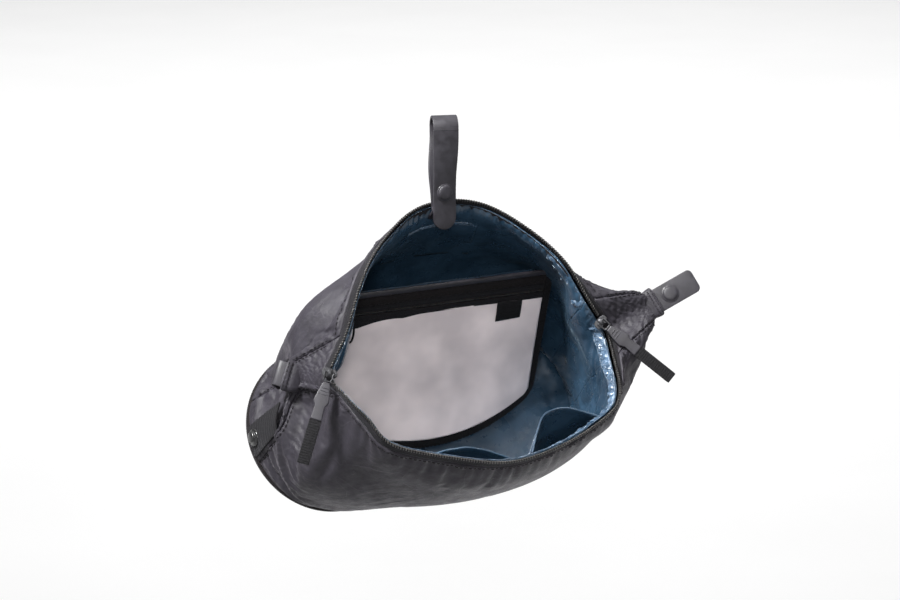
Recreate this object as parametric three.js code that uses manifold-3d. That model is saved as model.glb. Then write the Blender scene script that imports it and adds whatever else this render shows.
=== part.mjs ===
// A hanging toiletry bag, hung open from a rail by its rubber strap. Millimetres, +Z up.
// The origin is the inside top of the strap loop, where it rests on the rail. X runs along the bag,
// Y away from the person in front of it. The bag itself is drawn in its own frame, in which
// x is along the bag, y is the depth from the mouth to the base, and z is up along the mouth.
import * as THREE from "three";
import { mergeVertices } from "three/addons/utils/BufferGeometryUtils.js";
import Module from "manifold-3d";

const wasm = await Module();
wasm.setup();

// Driving dimensions
const BAG_TILT = 30; // degrees: how far the mouth looks up
const BAG_CENTRE = [2, -50.5, -156.6]; // the middle of the mouth plane
const BAG_DEPTH = 135; // from the mouth to the edge of the base binding
const BASE_CENTRE_X = -2;
const BASE_CENTRE_Z = -37;
const BASE_HALF_STRAIGHT = 82; // half of the straight side of the base
const BASE_RADIUS = 68; // outside of the binding, at both round ends
const SHELL_THICKNESS = 1.2;
const LINING_THICKNESS = 0.8;
const LINING_INSET = 5;
const LIP_INSET = 2.4; // of the lining's edge, inside the teeth
const EAR_GAP = 11; // between shell and lining beside the ears
const SEAM_GAP = 0.3;
const TAPE_WIDTH = 6.5;
const COIL_RADIUS = 1.2;
const RAIL_RADIUS = 8;
const STRAP_WIDTH = 20;
const STRAP_THICKNESS = 2.2;
const SNAP_HEIGHT = -58; // of the hang strap's snap, below the top of the rail
const FLAP_END = -88;
const CAP_RADIUS = 7.2;
const TAB_LENGTH = 41;
const TAB_CAP_PLACE = 17; // from the keeper to the middle of the cap

const COLOURS = {
  shell: [0x3b363c, 0.75, 0],
  lining: [0x1f3f55, 0.35, 0],
  rubber: [0x34343a, 0.6, 0],
  webbing: [0x1b1a1d, 0.85, 0],
  zip: [0x19181b, 0.7, 0],
  slider: [0x202024, 0.35, 0.6],
  binding: [0x241f20, 0.8, 0],
  window: [0xd9d4d2, 0.3, 0],
  snap: [0x141416, 0.2, 0.3],
};

// The outline of the bag at 20 stations, clockwise from the middle of the back as seen from the
// front. Each has its place on the mouth, on the shoulder and on the waist as [x, z, depth], and
// on the base either as x on a straight side or as an angle in degrees round an end.
const STATIONS = [
  { mouth: [0, 103, 0], shoulder: [0, 98, 30], waist: [0, 80, 80], backX: 0 },
  { mouth: [35, 95, 0], shoulder: [42, 92, 30], waist: [50, 76, 80], backX: 42 },
  { mouth: [69, 69, 0], shoulder: [85, 69, 32], waist: [94, 60, 82], backX: 82 },
  { mouth: [92, 40, 0], shoulder: [118, 40, 34], waist: [129, 35, 86], angle: 55 },
  { mouth: [108, 10, 8], shoulder: [163, 9, 11], waist: [141, 6, 85], angle: 28 },
  { mouth: [124, -15, 20], shoulder: [166.5, -1, 10], waist: [144, -18, 80], angle: 8 },
  { mouth: [120, -40, 12], shoulder: [167, -14, 11], waist: [142, -44, 76], angle: -16 },
  { mouth: [110, -72, 0], shoulder: [123, -72, 25], waist: [130, -72, 70], angle: -48 },
  { mouth: [94, -88, 0], shoulder: [103, -92, 28], waist: [106, -94, 68], frontX: 84 },
  { mouth: [50, -105, 0], shoulder: [52, -112, 30], waist: [56, -113, 72], frontX: 42 },
  { mouth: [0, -112, 0], shoulder: [0, -119, 30], waist: [0, -120, 75], frontX: 0 },
  { mouth: [-50, -101, 0], shoulder: [-52, -110, 32], waist: [-55, -116, 78], frontX: -42 },
  { mouth: [-96, -84, 0], shoulder: [-100, -91, 34], waist: [-104, -103, 80], frontX: -86 },
  { mouth: [-111, -60, 2], shoulder: [-123, -64, 36], waist: [-139, -78, 80], angle: -132 },
  { mouth: [-120, -40, 10], shoulder: [-132, -19, 62], waist: [-147, -45, 82], angle: -164 },
  { mouth: [-124, -18, 20], shoulder: [-134.5, -8, 62], waist: [-141, -24, 82], angle: -186 },
  { mouth: [-108, 10, 8], shoulder: [-137, 3, 62], waist: [-119, 3, 84], angle: -208 },
  { mouth: [-92, 42, 0], shoulder: [-129, 39, 46], waist: [-129, 29, 92], angle: -235 },
  { mouth: [-70, 70, 0], shoulder: [-83, 68, 34], waist: [-93, 59, 84], backX: -86 },
  { mouth: [-35, 96, 0], shoulder: [-40, 90, 30], waist: [-49, 76, 80], backX: -42 },
];
const RIGHT_EAR = 5; // the stations in the middle of the two ears
const LEFT_EAR = 15;
const RIGHT_SLIDER = 4.7; // the stations of the two sliders
const LEFT_SLIDER = 15;
const EAR_HALF_WIDTH = 1; // in stations, from the middle of an ear to its seams
const SHOULDER_LEVEL = 1; // depth levels: 0 mouth, 1 shoulder, 2 waist, 3 base
const BASE_LEVEL = 3;

const degrees = THREE.MathUtils.degToRad;

function material(slot) {
  const [color, roughness, metalness] = COLOURS[slot];
  return new THREE.MeshStandardMaterial({ color, roughness, metalness });
}

function mesh(name, geometry, slot) {
  const made = new THREE.Mesh(geometry, material(slot));
  made.name = name;
  return made;
}

// ---- solids ----

function signedVolume(positions, index) {
  const [a, b, c] = [new THREE.Vector3(), new THREE.Vector3(), new THREE.Vector3()];
  let volume = 0;
  for (let i = 0; i < index.length; i += 3) {
    a.fromArray(positions, 3 * index[i]);
    b.fromArray(positions, 3 * index[i + 1]);
    c.fromArray(positions, 3 * index[i + 2]);
    volume += a.dot(b.cross(c)) / 6;
  }
  return volume;
}

function closedGeometry(points, index) {
  const positions = points.flatMap((p) => p.toArray());
  if (signedVolume(positions, index) < 0) index.reverse();
  const geometry = new THREE.BufferGeometry();
  geometry.setAttribute("position", new THREE.Float32BufferAttribute(positions, 3));
  geometry.setIndex(index);
  geometry.computeVertexNormals();
  return geometry;
}

// A sheet of even thickness over surface(u, v), with u and v from 0 to 1.
function sheet(surface, across, along, thickness) {
  const outer = [];
  const inner = [];
  const step = 1e-3;
  const du = new THREE.Vector3();
  const dv = new THREE.Vector3();
  for (let j = 0; j <= along; j++) {
    for (let i = 0; i <= across; i++) {
      const [u, v] = [i / across, j / along];
      const at = surface(u, v);
      const u1 = Math.min(u + step, 1);
      const v1 = Math.min(v + step, 1);
      du.subVectors(surface(u1, v), surface(u1 - step, v));
      dv.subVectors(surface(u, v1), surface(u, v1 - step));
      const normal = du.clone().cross(dv).normalize();
      outer.push(at);
      inner.push(at.clone().addScaledVector(normal, -thickness));
    }
  }
  const row = across + 1;
  const count = outer.length;
  const index = [];
  const quad = (a, b, c, d) => index.push(a, b, c, a, c, d);
  for (let j = 0; j < along; j++) {
    for (let i = 0; i < across; i++) {
      const a = j * row + i;
      quad(a, a + 1, a + row + 1, a + row);
      quad(count + a, count + a + row, count + a + row + 1, count + a + 1);
    }
  }
  for (let i = 0; i < across; i++) {
    const top = along * row + i;
    quad(i + 1, i, count + i, count + i + 1);
    quad(top, top + 1, count + top + 1, count + top);
  }
  for (let j = 0; j < along; j++) {
    const left = j * row;
    const right = left + across;
    quad(left, left + row, count + left + row, count + left);
    quad(right + row, right, count + right, count + right + row);
  }
  return closedGeometry([...outer, ...inner], index);
}

// An outline in the x-y plane made `thickness` thick from z = 0.
function plate(shape, thickness, curveSegments = 8) {
  return new THREE.ExtrudeGeometry(shape, {
    depth: thickness,
    bevelEnabled: false,
    curveSegments,
  });
}

function roundedRectangle(x0, x1, halfWidth, nearRadius, farRadius) {
  const shape = new THREE.Shape();
  shape.moveTo(x0 + nearRadius, -halfWidth);
  shape.lineTo(x1 - farRadius, -halfWidth);
  shape.absarc(x1 - farRadius, -halfWidth + farRadius, farRadius, -Math.PI / 2, 0);
  shape.absarc(x1 - farRadius, halfWidth - farRadius, farRadius, 0, Math.PI / 2);
  shape.lineTo(x0 + nearRadius, halfWidth);
  shape.absarc(x0 + nearRadius, halfWidth - nearRadius, nearRadius, Math.PI / 2, Math.PI);
  shape.absarc(x0 + nearRadius, -halfWidth + nearRadius, nearRadius, Math.PI, 1.5 * Math.PI);
  return shape;
}

function stadium(radius) {
  const shape = new THREE.Shape();
  const [cx, cz] = [BASE_CENTRE_X, BASE_CENTRE_Z];
  shape.absarc(cx + BASE_HALF_STRAIGHT, cz, radius, -Math.PI / 2, Math.PI / 2);
  shape.absarc(cx - BASE_HALF_STRAIGHT, cz, radius, Math.PI / 2, 1.5 * Math.PI);
  return shape;
}

// A dome or disc turned about +z, from its flat face at z = 0.
function snapDome(radius, height) {
  const profile = [new THREE.Vector2(0, 0), new THREE.Vector2(radius, 0)];
  const steps = 4;
  for (let i = 0; i <= steps; i++) {
    const turn = ((i / steps) * Math.PI) / 2;
    const r = i === steps ? 0 : radius * (0.94 * Math.cos(turn) ** 0.5 + 0.06 * (1 - i / steps));
    profile.push(new THREE.Vector2(r, height * (0.35 + 0.65 * Math.sin(turn))));
  }
  return new THREE.LatheGeometry(profile, 24);
}

function disc(radius, height, boreRadius = 0) {
  const profile = [
    new THREE.Vector2(boreRadius, 0),
    new THREE.Vector2(radius, 0),
    new THREE.Vector2(radius, height),
    new THREE.Vector2(boreRadius, height),
  ];
  if (boreRadius > 0) profile.push(new THREE.Vector2(boreRadius, 0));
  return new THREE.LatheGeometry(profile, 20);
}

function tube(curve, radius, steps, sides = 6) {
  const section = new THREE.Shape();
  for (let i = 0; i < sides; i++) {
    const turn = (2 * Math.PI * i) / sides;
    const [x, y] = [radius * Math.cos(turn), radius * Math.sin(turn)];
    if (i === 0) section.moveTo(x, y);
    else section.lineTo(x, y);
  }
  return new THREE.ExtrudeGeometry(section, { steps, extrudePath: curve, bevelEnabled: false });
}

function solidOf(geometry) {
  const bare = geometry.clone();
  bare.deleteAttribute("normal");
  bare.deleteAttribute("uv");
  const merged = mergeVertices(bare, 1e-4);
  return new wasm.Manifold(
    new wasm.Mesh({
      numProp: 3,
      vertProperties: merged.attributes.position.array,
      triVerts: new Uint32Array(merged.index.array),
    }),
  );
}

function geometryOf(solid) {
  const made = solid.getMesh();
  const geometry = new THREE.BufferGeometry();
  geometry.setAttribute("position", new THREE.BufferAttribute(made.vertProperties, 3));
  geometry.setIndex(new THREE.BufferAttribute(made.triVerts, 1));
  geometry.computeVertexNormals();
  return geometry;
}

// ---- the surface of the bag ----

function basePoint(station, radius, depth) {
  const [cx, cz] = [BASE_CENTRE_X, BASE_CENTRE_Z];
  if (station.backX !== undefined) return [cx + station.backX, cz + radius, depth];
  if (station.frontX !== undefined) return [cx + station.frontX, cz - radius, depth];
  const turn = degrees(station.angle);
  const side = Math.sign(Math.cos(turn));
  return [
    cx + side * BASE_HALF_STRAIGHT + radius * Math.cos(turn),
    cz + radius * Math.sin(turn),
    depth,
  ];
}

const bagPoint = ([x, z, depth]) => new THREE.Vector3(x, depth, z);

function closedRing(points) {
  return new THREE.CatmullRomCurve3(points.map(bagPoint), true, "catmullrom", 0.5);
}

// A smooth closed surface through four rings: station runs round them, level from 0 to 3 inwards.
function loft(rings) {
  const curves = rings.map(closedRing);
  return (station, level) => {
    const around = (((station / STATIONS.length) % 1) + 1) % 1;
    const points = curves.map((c) => c.getPoint(around));
    const spline = new THREE.CatmullRomCurve3(points, false, "catmullrom", 0.5);
    return spline.getPoint(level / (rings.length - 1));
  };
}

const shellRings = [
  STATIONS.map((s) => s.mouth),
  STATIONS.map((s) => s.shoulder),
  STATIONS.map((s) => s.waist),
  STATIONS.map((s) => basePoint(s, BASE_RADIUS - 1, BAG_DEPTH - 0.6)),
];

// How many stations away from the middle of the nearer ear.
const fromEar = (i) => Math.min(Math.abs(i - RIGHT_EAR), Math.abs(i - LEFT_EAR));

// The lining passes the ears by: there its shoulder lies straight between mouth and waist.
function liningShoulder(station, i) {
  if (fromEar(i) > EAR_HALF_WIDTH) return station.shoulder;
  return station.mouth.map((m, k) => m + 0.42 * (station.waist[k] - m));
}

// A ring moved towards its own middle; distance is a function of the station.
function inset(ring, distance) {
  return ring.map(([x, z, depth], i) => {
    const before = ring[(i + ring.length - 1) % ring.length];
    const after = ring[(i + 1) % ring.length];
    const along = new THREE.Vector2(after[0] - before[0], after[1] - before[1]).normalize();
    return [x + along.y * distance(i), z - along.x * distance(i), depth];
  });
}

const liningMouth = ({ mouth: [x, z, depth] }) => [x, z, depth + 3];
const liningEarGap = (i) => (fromEar(i) <= EAR_HALF_WIDTH + 1 ? EAR_GAP : LINING_INSET);
const liningRings = [
  inset(STATIONS.map(liningMouth), () => LIP_INSET),
  inset(STATIONS.map(liningShoulder), liningEarGap),
  inset(STATIONS.map((s) => s.waist), (i) => liningEarGap(i) - 2),
  STATIONS.map((s) => basePoint(s, BASE_RADIUS - 2 - LINING_INSET, BAG_DEPTH - 2.5)),
];

const shell = loft(shellRings);
const lining = loft(liningRings);
const mouthCurve = closedRing(shellRings[0]);

// The level at which the shell is `distance` from the teeth, at one station.
function levelAt(station, distance) {
  const start = shell(station, 0);
  let [low, high] = [0, 1];
  for (let i = 0; i < 20; i++) {
    const middle = (low + high) / 2;
    if (shell(station, middle).distanceTo(start) < distance) low = middle;
    else high = middle;
  }
  return low;
}

// A panel of the shell between two stations and two levels; fromLevel is a function of the station.
function shellPanel(first, last, fromLevel, toLevel, across, along) {
  const surface = (u, v) => {
    const station = first + u * (last - first);
    const from = fromLevel(station);
    return shell(station, from + v * (toLevel - from));
  };
  return sheet(surface, across, along, SHELL_THICKNESS);
}

function liningPanel(first, last, across, along) {
  const surface = (u, v) => lining(first + u * (last - first), 3 * v);
  return sheet(surface, across, along, LINING_THICKNESS);
}

const besideTape = (station) => levelAt(station, TAPE_WIDTH + SEAM_GAP);
const patchFrom = (station) => levelAt(station, TAPE_WIDTH + 5 * SEAM_GAP);
const SEAM = 0.035; // half of the gap left at a seam, in stations
const LEVEL_SEAM = 0.012;

function shellPieces() {
  const [right, left, w] = [RIGHT_EAR, LEFT_EAR, EAR_HALF_WIDTH];
  const round = STATIONS.length;
  const shoulder = () => SHOULDER_LEVEL + LEVEL_SEAM;
  const keeper = SHOULDER_LEVEL - LEVEL_SEAM;
  const letIn = 0.06; // of the patches, in from the two seams
  const panel = (name, ...extent) => mesh(name, shellPanel(...extent), "shell");
  return [
    panel("front_panel", right + w + SEAM, left - w - SEAM, besideTape, BASE_LEVEL, 26, 9),
    panel("back_panel", left + w + SEAM, round + right - w - SEAM, besideTape, BASE_LEVEL, 30, 9),
    panel("right_end_panel", right - w + SEAM, right + w - SEAM, shoulder, BASE_LEVEL, 5, 9),
    panel("left_end_panel", left - w + SEAM, left + w - SEAM, shoulder, BASE_LEVEL, 5, 9),
    panel("right_ear_patch", right - w + letIn, right + w - letIn, patchFrom, keeper, 5, 4),
    panel("left_ear_patch", left - w + letIn, left + w - letIn, patchFrom, keeper, 5, 4),
  ];
}

function liningPieces() {
  const [right, left, w] = [RIGHT_EAR, LEFT_EAR, EAR_HALF_WIDTH];
  const round = STATIONS.length;
  const floor = plate(stadium(BASE_RADIUS - 3 - LINING_INSET), LINING_THICKNESS, 14);
  const lining_base = mesh("lining_base", floor, "lining");
  lining_base.rotation.x = Math.PI / 2;
  lining_base.position.y = BAG_DEPTH - 1;
  return [
    mesh("lining_front", liningPanel(right + w + SEAM, left - w - SEAM, 24, 7), "lining"),
    mesh("lining_back", liningPanel(left + w + SEAM, round + right - w - SEAM, 26, 7), "lining"),
    mesh("lining_right", liningPanel(right - w + SEAM, right + w - SEAM, 5, 7), "lining"),
    mesh("lining_left", liningPanel(left - w + SEAM, left + w - SEAM, 5, 7), "lining"),
    lining_base,
  ];
}

function basePieces() {
  const bindingHeight = 5.8;
  const panelThickness = 2.6;
  const ring = stadium(BASE_RADIUS);
  ring.holes.push(stadium(BASE_RADIUS - 3.5));
  const binding = mesh("base_binding", plate(ring, bindingHeight, 20), "binding");
  binding.rotation.x = Math.PI / 2;
  binding.position.y = BAG_DEPTH + SEAM_GAP + bindingHeight;
  const panel = mesh("base_panel", plate(stadium(BASE_RADIUS - 3.9), panelThickness, 20), "shell");
  panel.rotation.x = Math.PI / 2;
  panel.position.y = BAG_DEPTH + SEAM_GAP + bindingHeight + 0.4;
  return [binding, panel];
}

// ---- the main zip ----

class MouthStretch extends THREE.Curve {
  constructor(first, last) {
    super();
    this.first = first;
    this.last = last;
  }
  getPoint(t, target = new THREE.Vector3()) {
    const station = this.first + t * (this.last - this.first);
    const around = (((station / STATIONS.length) % 1) + 1) % 1;
    target.copy(mouthCurve.getPoint(around));
    target.y -= COIL_RADIUS + 2 * SEAM_GAP;
    return target;
  }
}

function zipPieces() {
  const beside = 0.25; // stations left free for each slider
  const round = STATIONS.length;
  const halves = {
    front: [RIGHT_SLIDER + beside, LEFT_SLIDER - beside, 30],
    back: [LEFT_SLIDER + beside, round + RIGHT_SLIDER - beside, 34],
  };
  return Object.entries(halves).flatMap(([side, [first, last, steps]]) => {
    const tape = (u, v) => {
      const station = first + u * (last - first);
      const start = shell(station, 0);
      const along = shell(station, levelAt(station, TAPE_WIDTH)).sub(start);
      return start.addScaledVector(along, v);
    };
    return [
      mesh("zipper_tape_" + side, sheet(tape, steps, 1, 0.9), "zip"),
      mesh("zipper_coil_" + side, tube(new MouthStretch(first, last), COIL_RADIUS, 2 * steps), "zip"),
    ];
  });
}

// ---- sliders and their pullers ----

// A group whose x, y and z axes are given directions; y is turned to be square to x.
function placed(origin, xAxis, yHint, children) {
  const x = new THREE.Vector3(...xAxis).normalize();
  const z = x.clone().cross(new THREE.Vector3(...yHint)).normalize();
  const y = z.clone().cross(x);
  const group = new THREE.Group();
  new THREE.Matrix4().makeBasis(x, y, z).decompose(group.position, group.quaternion, group.scale);
  group.position.set(...origin);
  group.add(...children);
  return group;
}

function box(x0, x1, y0, y1, z0, z1) {
  const made = new THREE.BoxGeometry(x1 - x0, y1 - y0, z1 - z0);
  return made.translate((x0 + x1) / 2, (y0 + y1) / 2, (z0 + z1) / 2);
}

const SLIDER_TOP = 5.2; // of the body, above its underside
const SLIDER_STAND_OFF = 2; // of its underside, in front of the teeth
const BAIL_WIRE = 0.8;
const BAIL_LENGTH = 7;
const GRIP_LENGTH = 30;
const WEBBING_LENGTH = 35;

// A waisted body with a bridge; the wire of the bail runs under the bridge, along x.
function sliderBody(name) {
  const outline = new THREE.Shape();
  outline.moveTo(-5.5, -3);
  outline.quadraticCurveTo(-6, 0, -5.5, 3);
  outline.quadraticCurveTo(0, 5.6, 5.5, 4.2);
  outline.quadraticCurveTo(7, 0, 5.5, -4.2);
  outline.quadraticCurveTo(0, -5.6, -5.5, -3);
  const bridge = box(-1.4, 1.4, -3.4, 3.4, SLIDER_TOP - 0.5, SLIDER_TOP + 3.6);
  const tunnel = box(-3, 3, -1.5, 1.5, SLIDER_TOP, SLIDER_TOP + 2.4);
  const made = solidOf(plate(outline, SLIDER_TOP)).add(solidOf(bridge)).subtract(solidOf(tunnel));
  return mesh(name, geometryOf(made), "slider");
}

// The puller lies along y from the wire at the origin, and is seen from +z.
function bail(name) {
  const [halfWidth, end] = [3.6, BAIL_LENGTH];
  const corners = [
    [-halfWidth, 0],
    [halfWidth, 0],
    [halfWidth - 0.8, end],
    [-halfWidth + 0.8, end],
  ].map(([x, y]) => new THREE.Vector2(x, y));
  const grow = (c, by) => new THREE.Vector2(c.x + Math.sign(c.x) * by, c.y + (c.y > 1 ? by : -by));
  const outer = new THREE.Shape(corners.map((c) => grow(c, BAIL_WIRE)));
  outer.holes.push(new THREE.Path(corners.map((c) => grow(c, -BAIL_WIRE))));
  const made = plate(outer, 2 * BAIL_WIRE);
  return mesh(name, made.translate(0, 0, -BAIL_WIRE), "slider");
}

function grip(name) {
  const thickness = 3.2;
  const start = BAIL_LENGTH + BAIL_WIRE + SEAM_GAP;
  const right = [
    [3.2, 0],
    [4.6, 7],
    [6, 15],
    [4, 19.5],
    [4.4, GRIP_LENGTH],
  ];
  const left = right.map(([x, y]) => [-x, y]).reverse();
  const points = [...right, ...left].map(([x, y]) => new THREE.Vector2(x, y + start));
  const made = plate(new THREE.Shape(points), thickness);
  return mesh(name, made.translate(0, 0, -thickness / 2), "rubber");
}

function webbing(name) {
  const [halfWidth, thickness] = [4.8, 1.8];
  const start = BAIL_LENGTH + BAIL_WIRE + GRIP_LENGTH + 2 * SEAM_GAP;
  const made = box(-halfWidth, halfWidth, start, start + WEBBING_LENGTH, -thickness / 2, thickness / 2);
  return mesh(name, made, "webbing");
}

// Each end of the zip, in the bag's frame: the puller hangs along `hangs`, with its flat side
// towards the person in front of the bag.
const TOWARDS_PERSON = [-0.45, -0.87, -0.21];
const ZIP_ENDS = {
  right: { at: RIGHT_SLIDER, hangs: [43, -12, -56] },
  left: { at: LEFT_SLIDER, hangs: [-29, 15, -58] },
};

function zipEnd(side) {
  const { at, hangs } = ZIP_ENDS[side];
  const rim = mouthCurve.getPoint(at / STATIONS.length);
  const normal = new THREE.Vector3(...TOWARDS_PERSON);
  const along = new THREE.Vector3(...hangs).normalize();
  const widthAxis = along.clone().cross(normal).normalize();
  const face = widthAxis.clone().cross(along);
  const wire = rim.addScaledVector(face, SLIDER_STAND_OFF + SLIDER_TOP + 1.2);
  const slider = sliderBody(side + "_slider");
  slider.position.z = -SLIDER_TOP - 1.2;
  return placed(wire.toArray(), widthAxis.toArray(), along.toArray(), [
    slider,
    bail(side + "_pull_bail"),
    grip(side + "_pull_grip"),
    webbing(side + "_pull_webbing"),
  ]);
}

// ---- the ears' tab straps ----

// A strap of even thickness whose centre line is points in the x-y plane, `width` wide along z.
function ribbon(points, width, thickness = STRAP_THICKNESS) {
  const line = points.map(([x, y]) => new THREE.Vector2(x, y));
  const side = (sign) =>
    line.map((p, i) => {
      const before = line[Math.max(i - 1, 0)];
      const after = line[Math.min(i + 1, line.length - 1)];
      const along = after.clone().sub(before).normalize();
      const offset = (sign * thickness) / 2;
      return new THREE.Vector2(p.x - along.y * offset, p.y + along.x * offset);
    });
  const shape = new THREE.Shape([...side(1), ...side(-1).reverse()]);
  return plate(shape, width).translate(0, 0, -width / 2);
}

const KEEPER_HALF_LENGTH = 12;

function keeper(name) {
  const [x0, x1, z0, z1] = [-3, 3, 4.3, 7.5];
  const made = roundedRectangle(-KEEPER_HALF_LENGTH, KEEPER_HALF_LENGTH, (x1 - x0) / 2, 3, 3);
  const bar = plate(made, z1 - z0, 4);
  return mesh(name, bar.rotateZ(Math.PI / 2).translate(2, 0, z0), "shell");
}

function tabCap(name) {
  return mesh(name, snapDome(CAP_RADIUS, 2.4).rotateX(Math.PI / 2), "rubber");
}

function tabSocket(name) {
  return mesh(name, disc(5, 1.8, 2.1).rotateX(-Math.PI / 2), "snap");
}

const HALF_STRAP = STRAP_THICKNESS / 2 + SEAM_GAP;

function rightTab() {
  const strap = plate(roundedRectangle(3.6, TAB_LENGTH, STRAP_WIDTH / 2, 0.2, 4), STRAP_THICKNESS);
  strap.translate(0, 0, -STRAP_THICKNESS / 2);
  const cap = tabCap("right_tab_cap");
  cap.position.set(TAB_CAP_PLACE, 0, HALF_STRAP);
  const socket = tabSocket("right_tab_socket");
  socket.position.set(TAB_CAP_PLACE, 0, -HALF_STRAP);
  const parts = [keeper("right_keeper"), mesh("right_tab_strap", strap, "rubber"), cap, socket];
  return placed([167, 9, -0.7], [0.855, -0.434, 0.282], [-0.156, 0, 0.988], parts);
}

// The left ear is folded back, so its tab turns the corner and points away behind it.
function leftTab() {
  const [corner, turn] = [9, degrees(100)];
  const back = TAB_LENGTH - corner - 4;
  const path = [
    [2.5, 0],
    [corner, 0],
    [corner + 3 * Math.sin(turn / 2), -3 * (1 - Math.cos(turn / 2))],
  ];
  const [bx, by] = [corner + 3 * Math.sin(turn), -3 * (1 - Math.cos(turn))];
  path.push([bx, by], [bx + back * Math.cos(turn), by - back * Math.sin(turn)]);
  const strap = mesh("left_tab_strap", ribbon(path, STRAP_WIDTH).rotateX(Math.PI / 2), "rubber");
  const place = 15; // from the turn to the middle of the snap
  const middle = [bx + place * Math.cos(turn), 0, by - place * Math.sin(turn)];
  const cap = tabCap("left_tab_cap");
  const socket = tabSocket("left_tab_socket");
  const outward = new THREE.Vector3(Math.sin(turn), 0, Math.cos(turn));
  cap.rotation.y = turn;
  socket.rotation.y = turn;
  cap.position.set(...middle).addScaledVector(outward, HALF_STRAP);
  socket.position.set(...middle).addScaledVector(outward, -HALF_STRAP);
  const parts = [keeper("left_keeper"), strap, cap, socket];
  return placed([-138.6, 60.5, -6.3], [-0.815, 0.308, 0.491], [0.22, 0, -0.975], parts);
}

// ---- the bands across the ends, which the tabs snap on to when the bag is rolled shut ----

function endBand(side) {
  const [first, last] = side === "left" ? [14.1, 15.1] : [4.9, 5.9];
  const [nearLevel, farLevel] = [2.05, 2.93];
  const [standOff, thickness] = [3, 2];
  const outward = (u, v) => {
    const station = first + u * (last - first);
    const level = nearLevel + v * (farLevel - nearLevel);
    const at = shell(station, level);
    const du = shell(station + 0.05, level).sub(shell(station - 0.05, level));
    const dv = shell(station, level + 0.02).sub(shell(station, level - 0.02));
    return at.addScaledVector(du.cross(dv).normalize(), standOff);
  };
  const band = mesh(side + "_end_band", sheet(outward, 4, 6, thickness), "webbing");
  const profile = [
    [0, 0],
    [7, 0],
    [7, 1.4],
    [4.6, 1.6],
    [4.6, 3.6],
    [3.6, 4.2],
    [0, 4.2],
  ].map(([r, h]) => new THREE.Vector2(r, h));
  const stud = mesh(side + "_band_stud", new THREE.LatheGeometry(profile, 20), "snap");
  const at = outward(0.5, 0.82);
  const du = outward(0.6, 0.82).sub(outward(0.4, 0.82));
  const dv = outward(0.5, 0.9).sub(outward(0.5, 0.74));
  const normal = du.cross(dv).normalize();
  stud.quaternion.setFromUnitVectors(new THREE.Vector3(0, 1, 0), normal);
  stud.position.copy(at).addScaledVector(normal, 2 * SEAM_GAP);
  return [band, stud];
}

// ---- the zipped divider pocket: a flat pouch hung across the inside of the bag ----

const POCKET_TOP = [42.6, 48]; // depth and z of the middle of its top edge
const POCKET_HANG = [0.73, -0.68]; // direction of its fall
const POCKET_HALF_WIDTH = 98.5;
const POCKET_HEIGHT = 112;
const POCKET_EDGE = 7;
const POCKET_DEPTH = 12.5;

const POCKET_ZIP_END = 26; // where the window starts, under the zip
const POCKET_DROP = 21; // how much further down its bottom edge hangs in the middle
const POCKET_BELLY = 22; // how far it bulges at the middle of that edge

// In the pocket's own frame x runs to the person's left, y falls from the top edge, and z looks
// at the person. Under its zip the pocket is baggy: it sags down and forward in the middle.
function pocketPoint(x, y, z) {
  const fullness = 1 - (x / (POCKET_HALF_WIDTH + POCKET_EDGE)) ** 2;
  const down = Math.max(0, (y - POCKET_ZIP_END) / (POCKET_HEIGHT - POCKET_ZIP_END));
  const sag = POCKET_DROP * fullness * down;
  const bulge = POCKET_BELLY * fullness * down ** 1.5;
  return new THREE.Vector3(x, y + sag, z + bulge);
}

function pocketCloth(name, x0, x1, y0, y1, z, thickness, slot, across = 12, along = 8) {
  const surface = (u, v) => pocketPoint(x1 + u * (x0 - x1), y0 + v * (y1 - y0), z + thickness);
  return mesh(name, sheet(surface, across, along, thickness), slot);
}

// The binding goes down one side, along the bottom and up the other side.
function pocketBinding() {
  const [w, near, far] = [POCKET_HALF_WIDTH, SEAM_GAP, POCKET_EDGE];
  const [sideSteps, bottomSteps] = [6, 14];
  const steps = 2 * sideSteps + bottomSteps;
  const surface = (u, v) => {
    const out = near + v * (far - near);
    const bottom = POCKET_HEIGHT + out;
    const step = u * steps;
    const fall = (share) => POCKET_EDGE + share * (bottom - POCKET_EDGE);
    const share = (step - sideSteps) / bottomSteps;
    if (share < 0) return pocketPoint(-w - out, fall(step / sideSteps), 1);
    if (share > 1) return pocketPoint(w + out, fall((steps - step) / sideSteps), 1);
    return pocketPoint((2 * share - 1) * (w + out), bottom, 1);
  };
  return mesh("pocket_binding", sheet(surface, steps, 1, 2), "webbing");
}

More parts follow.
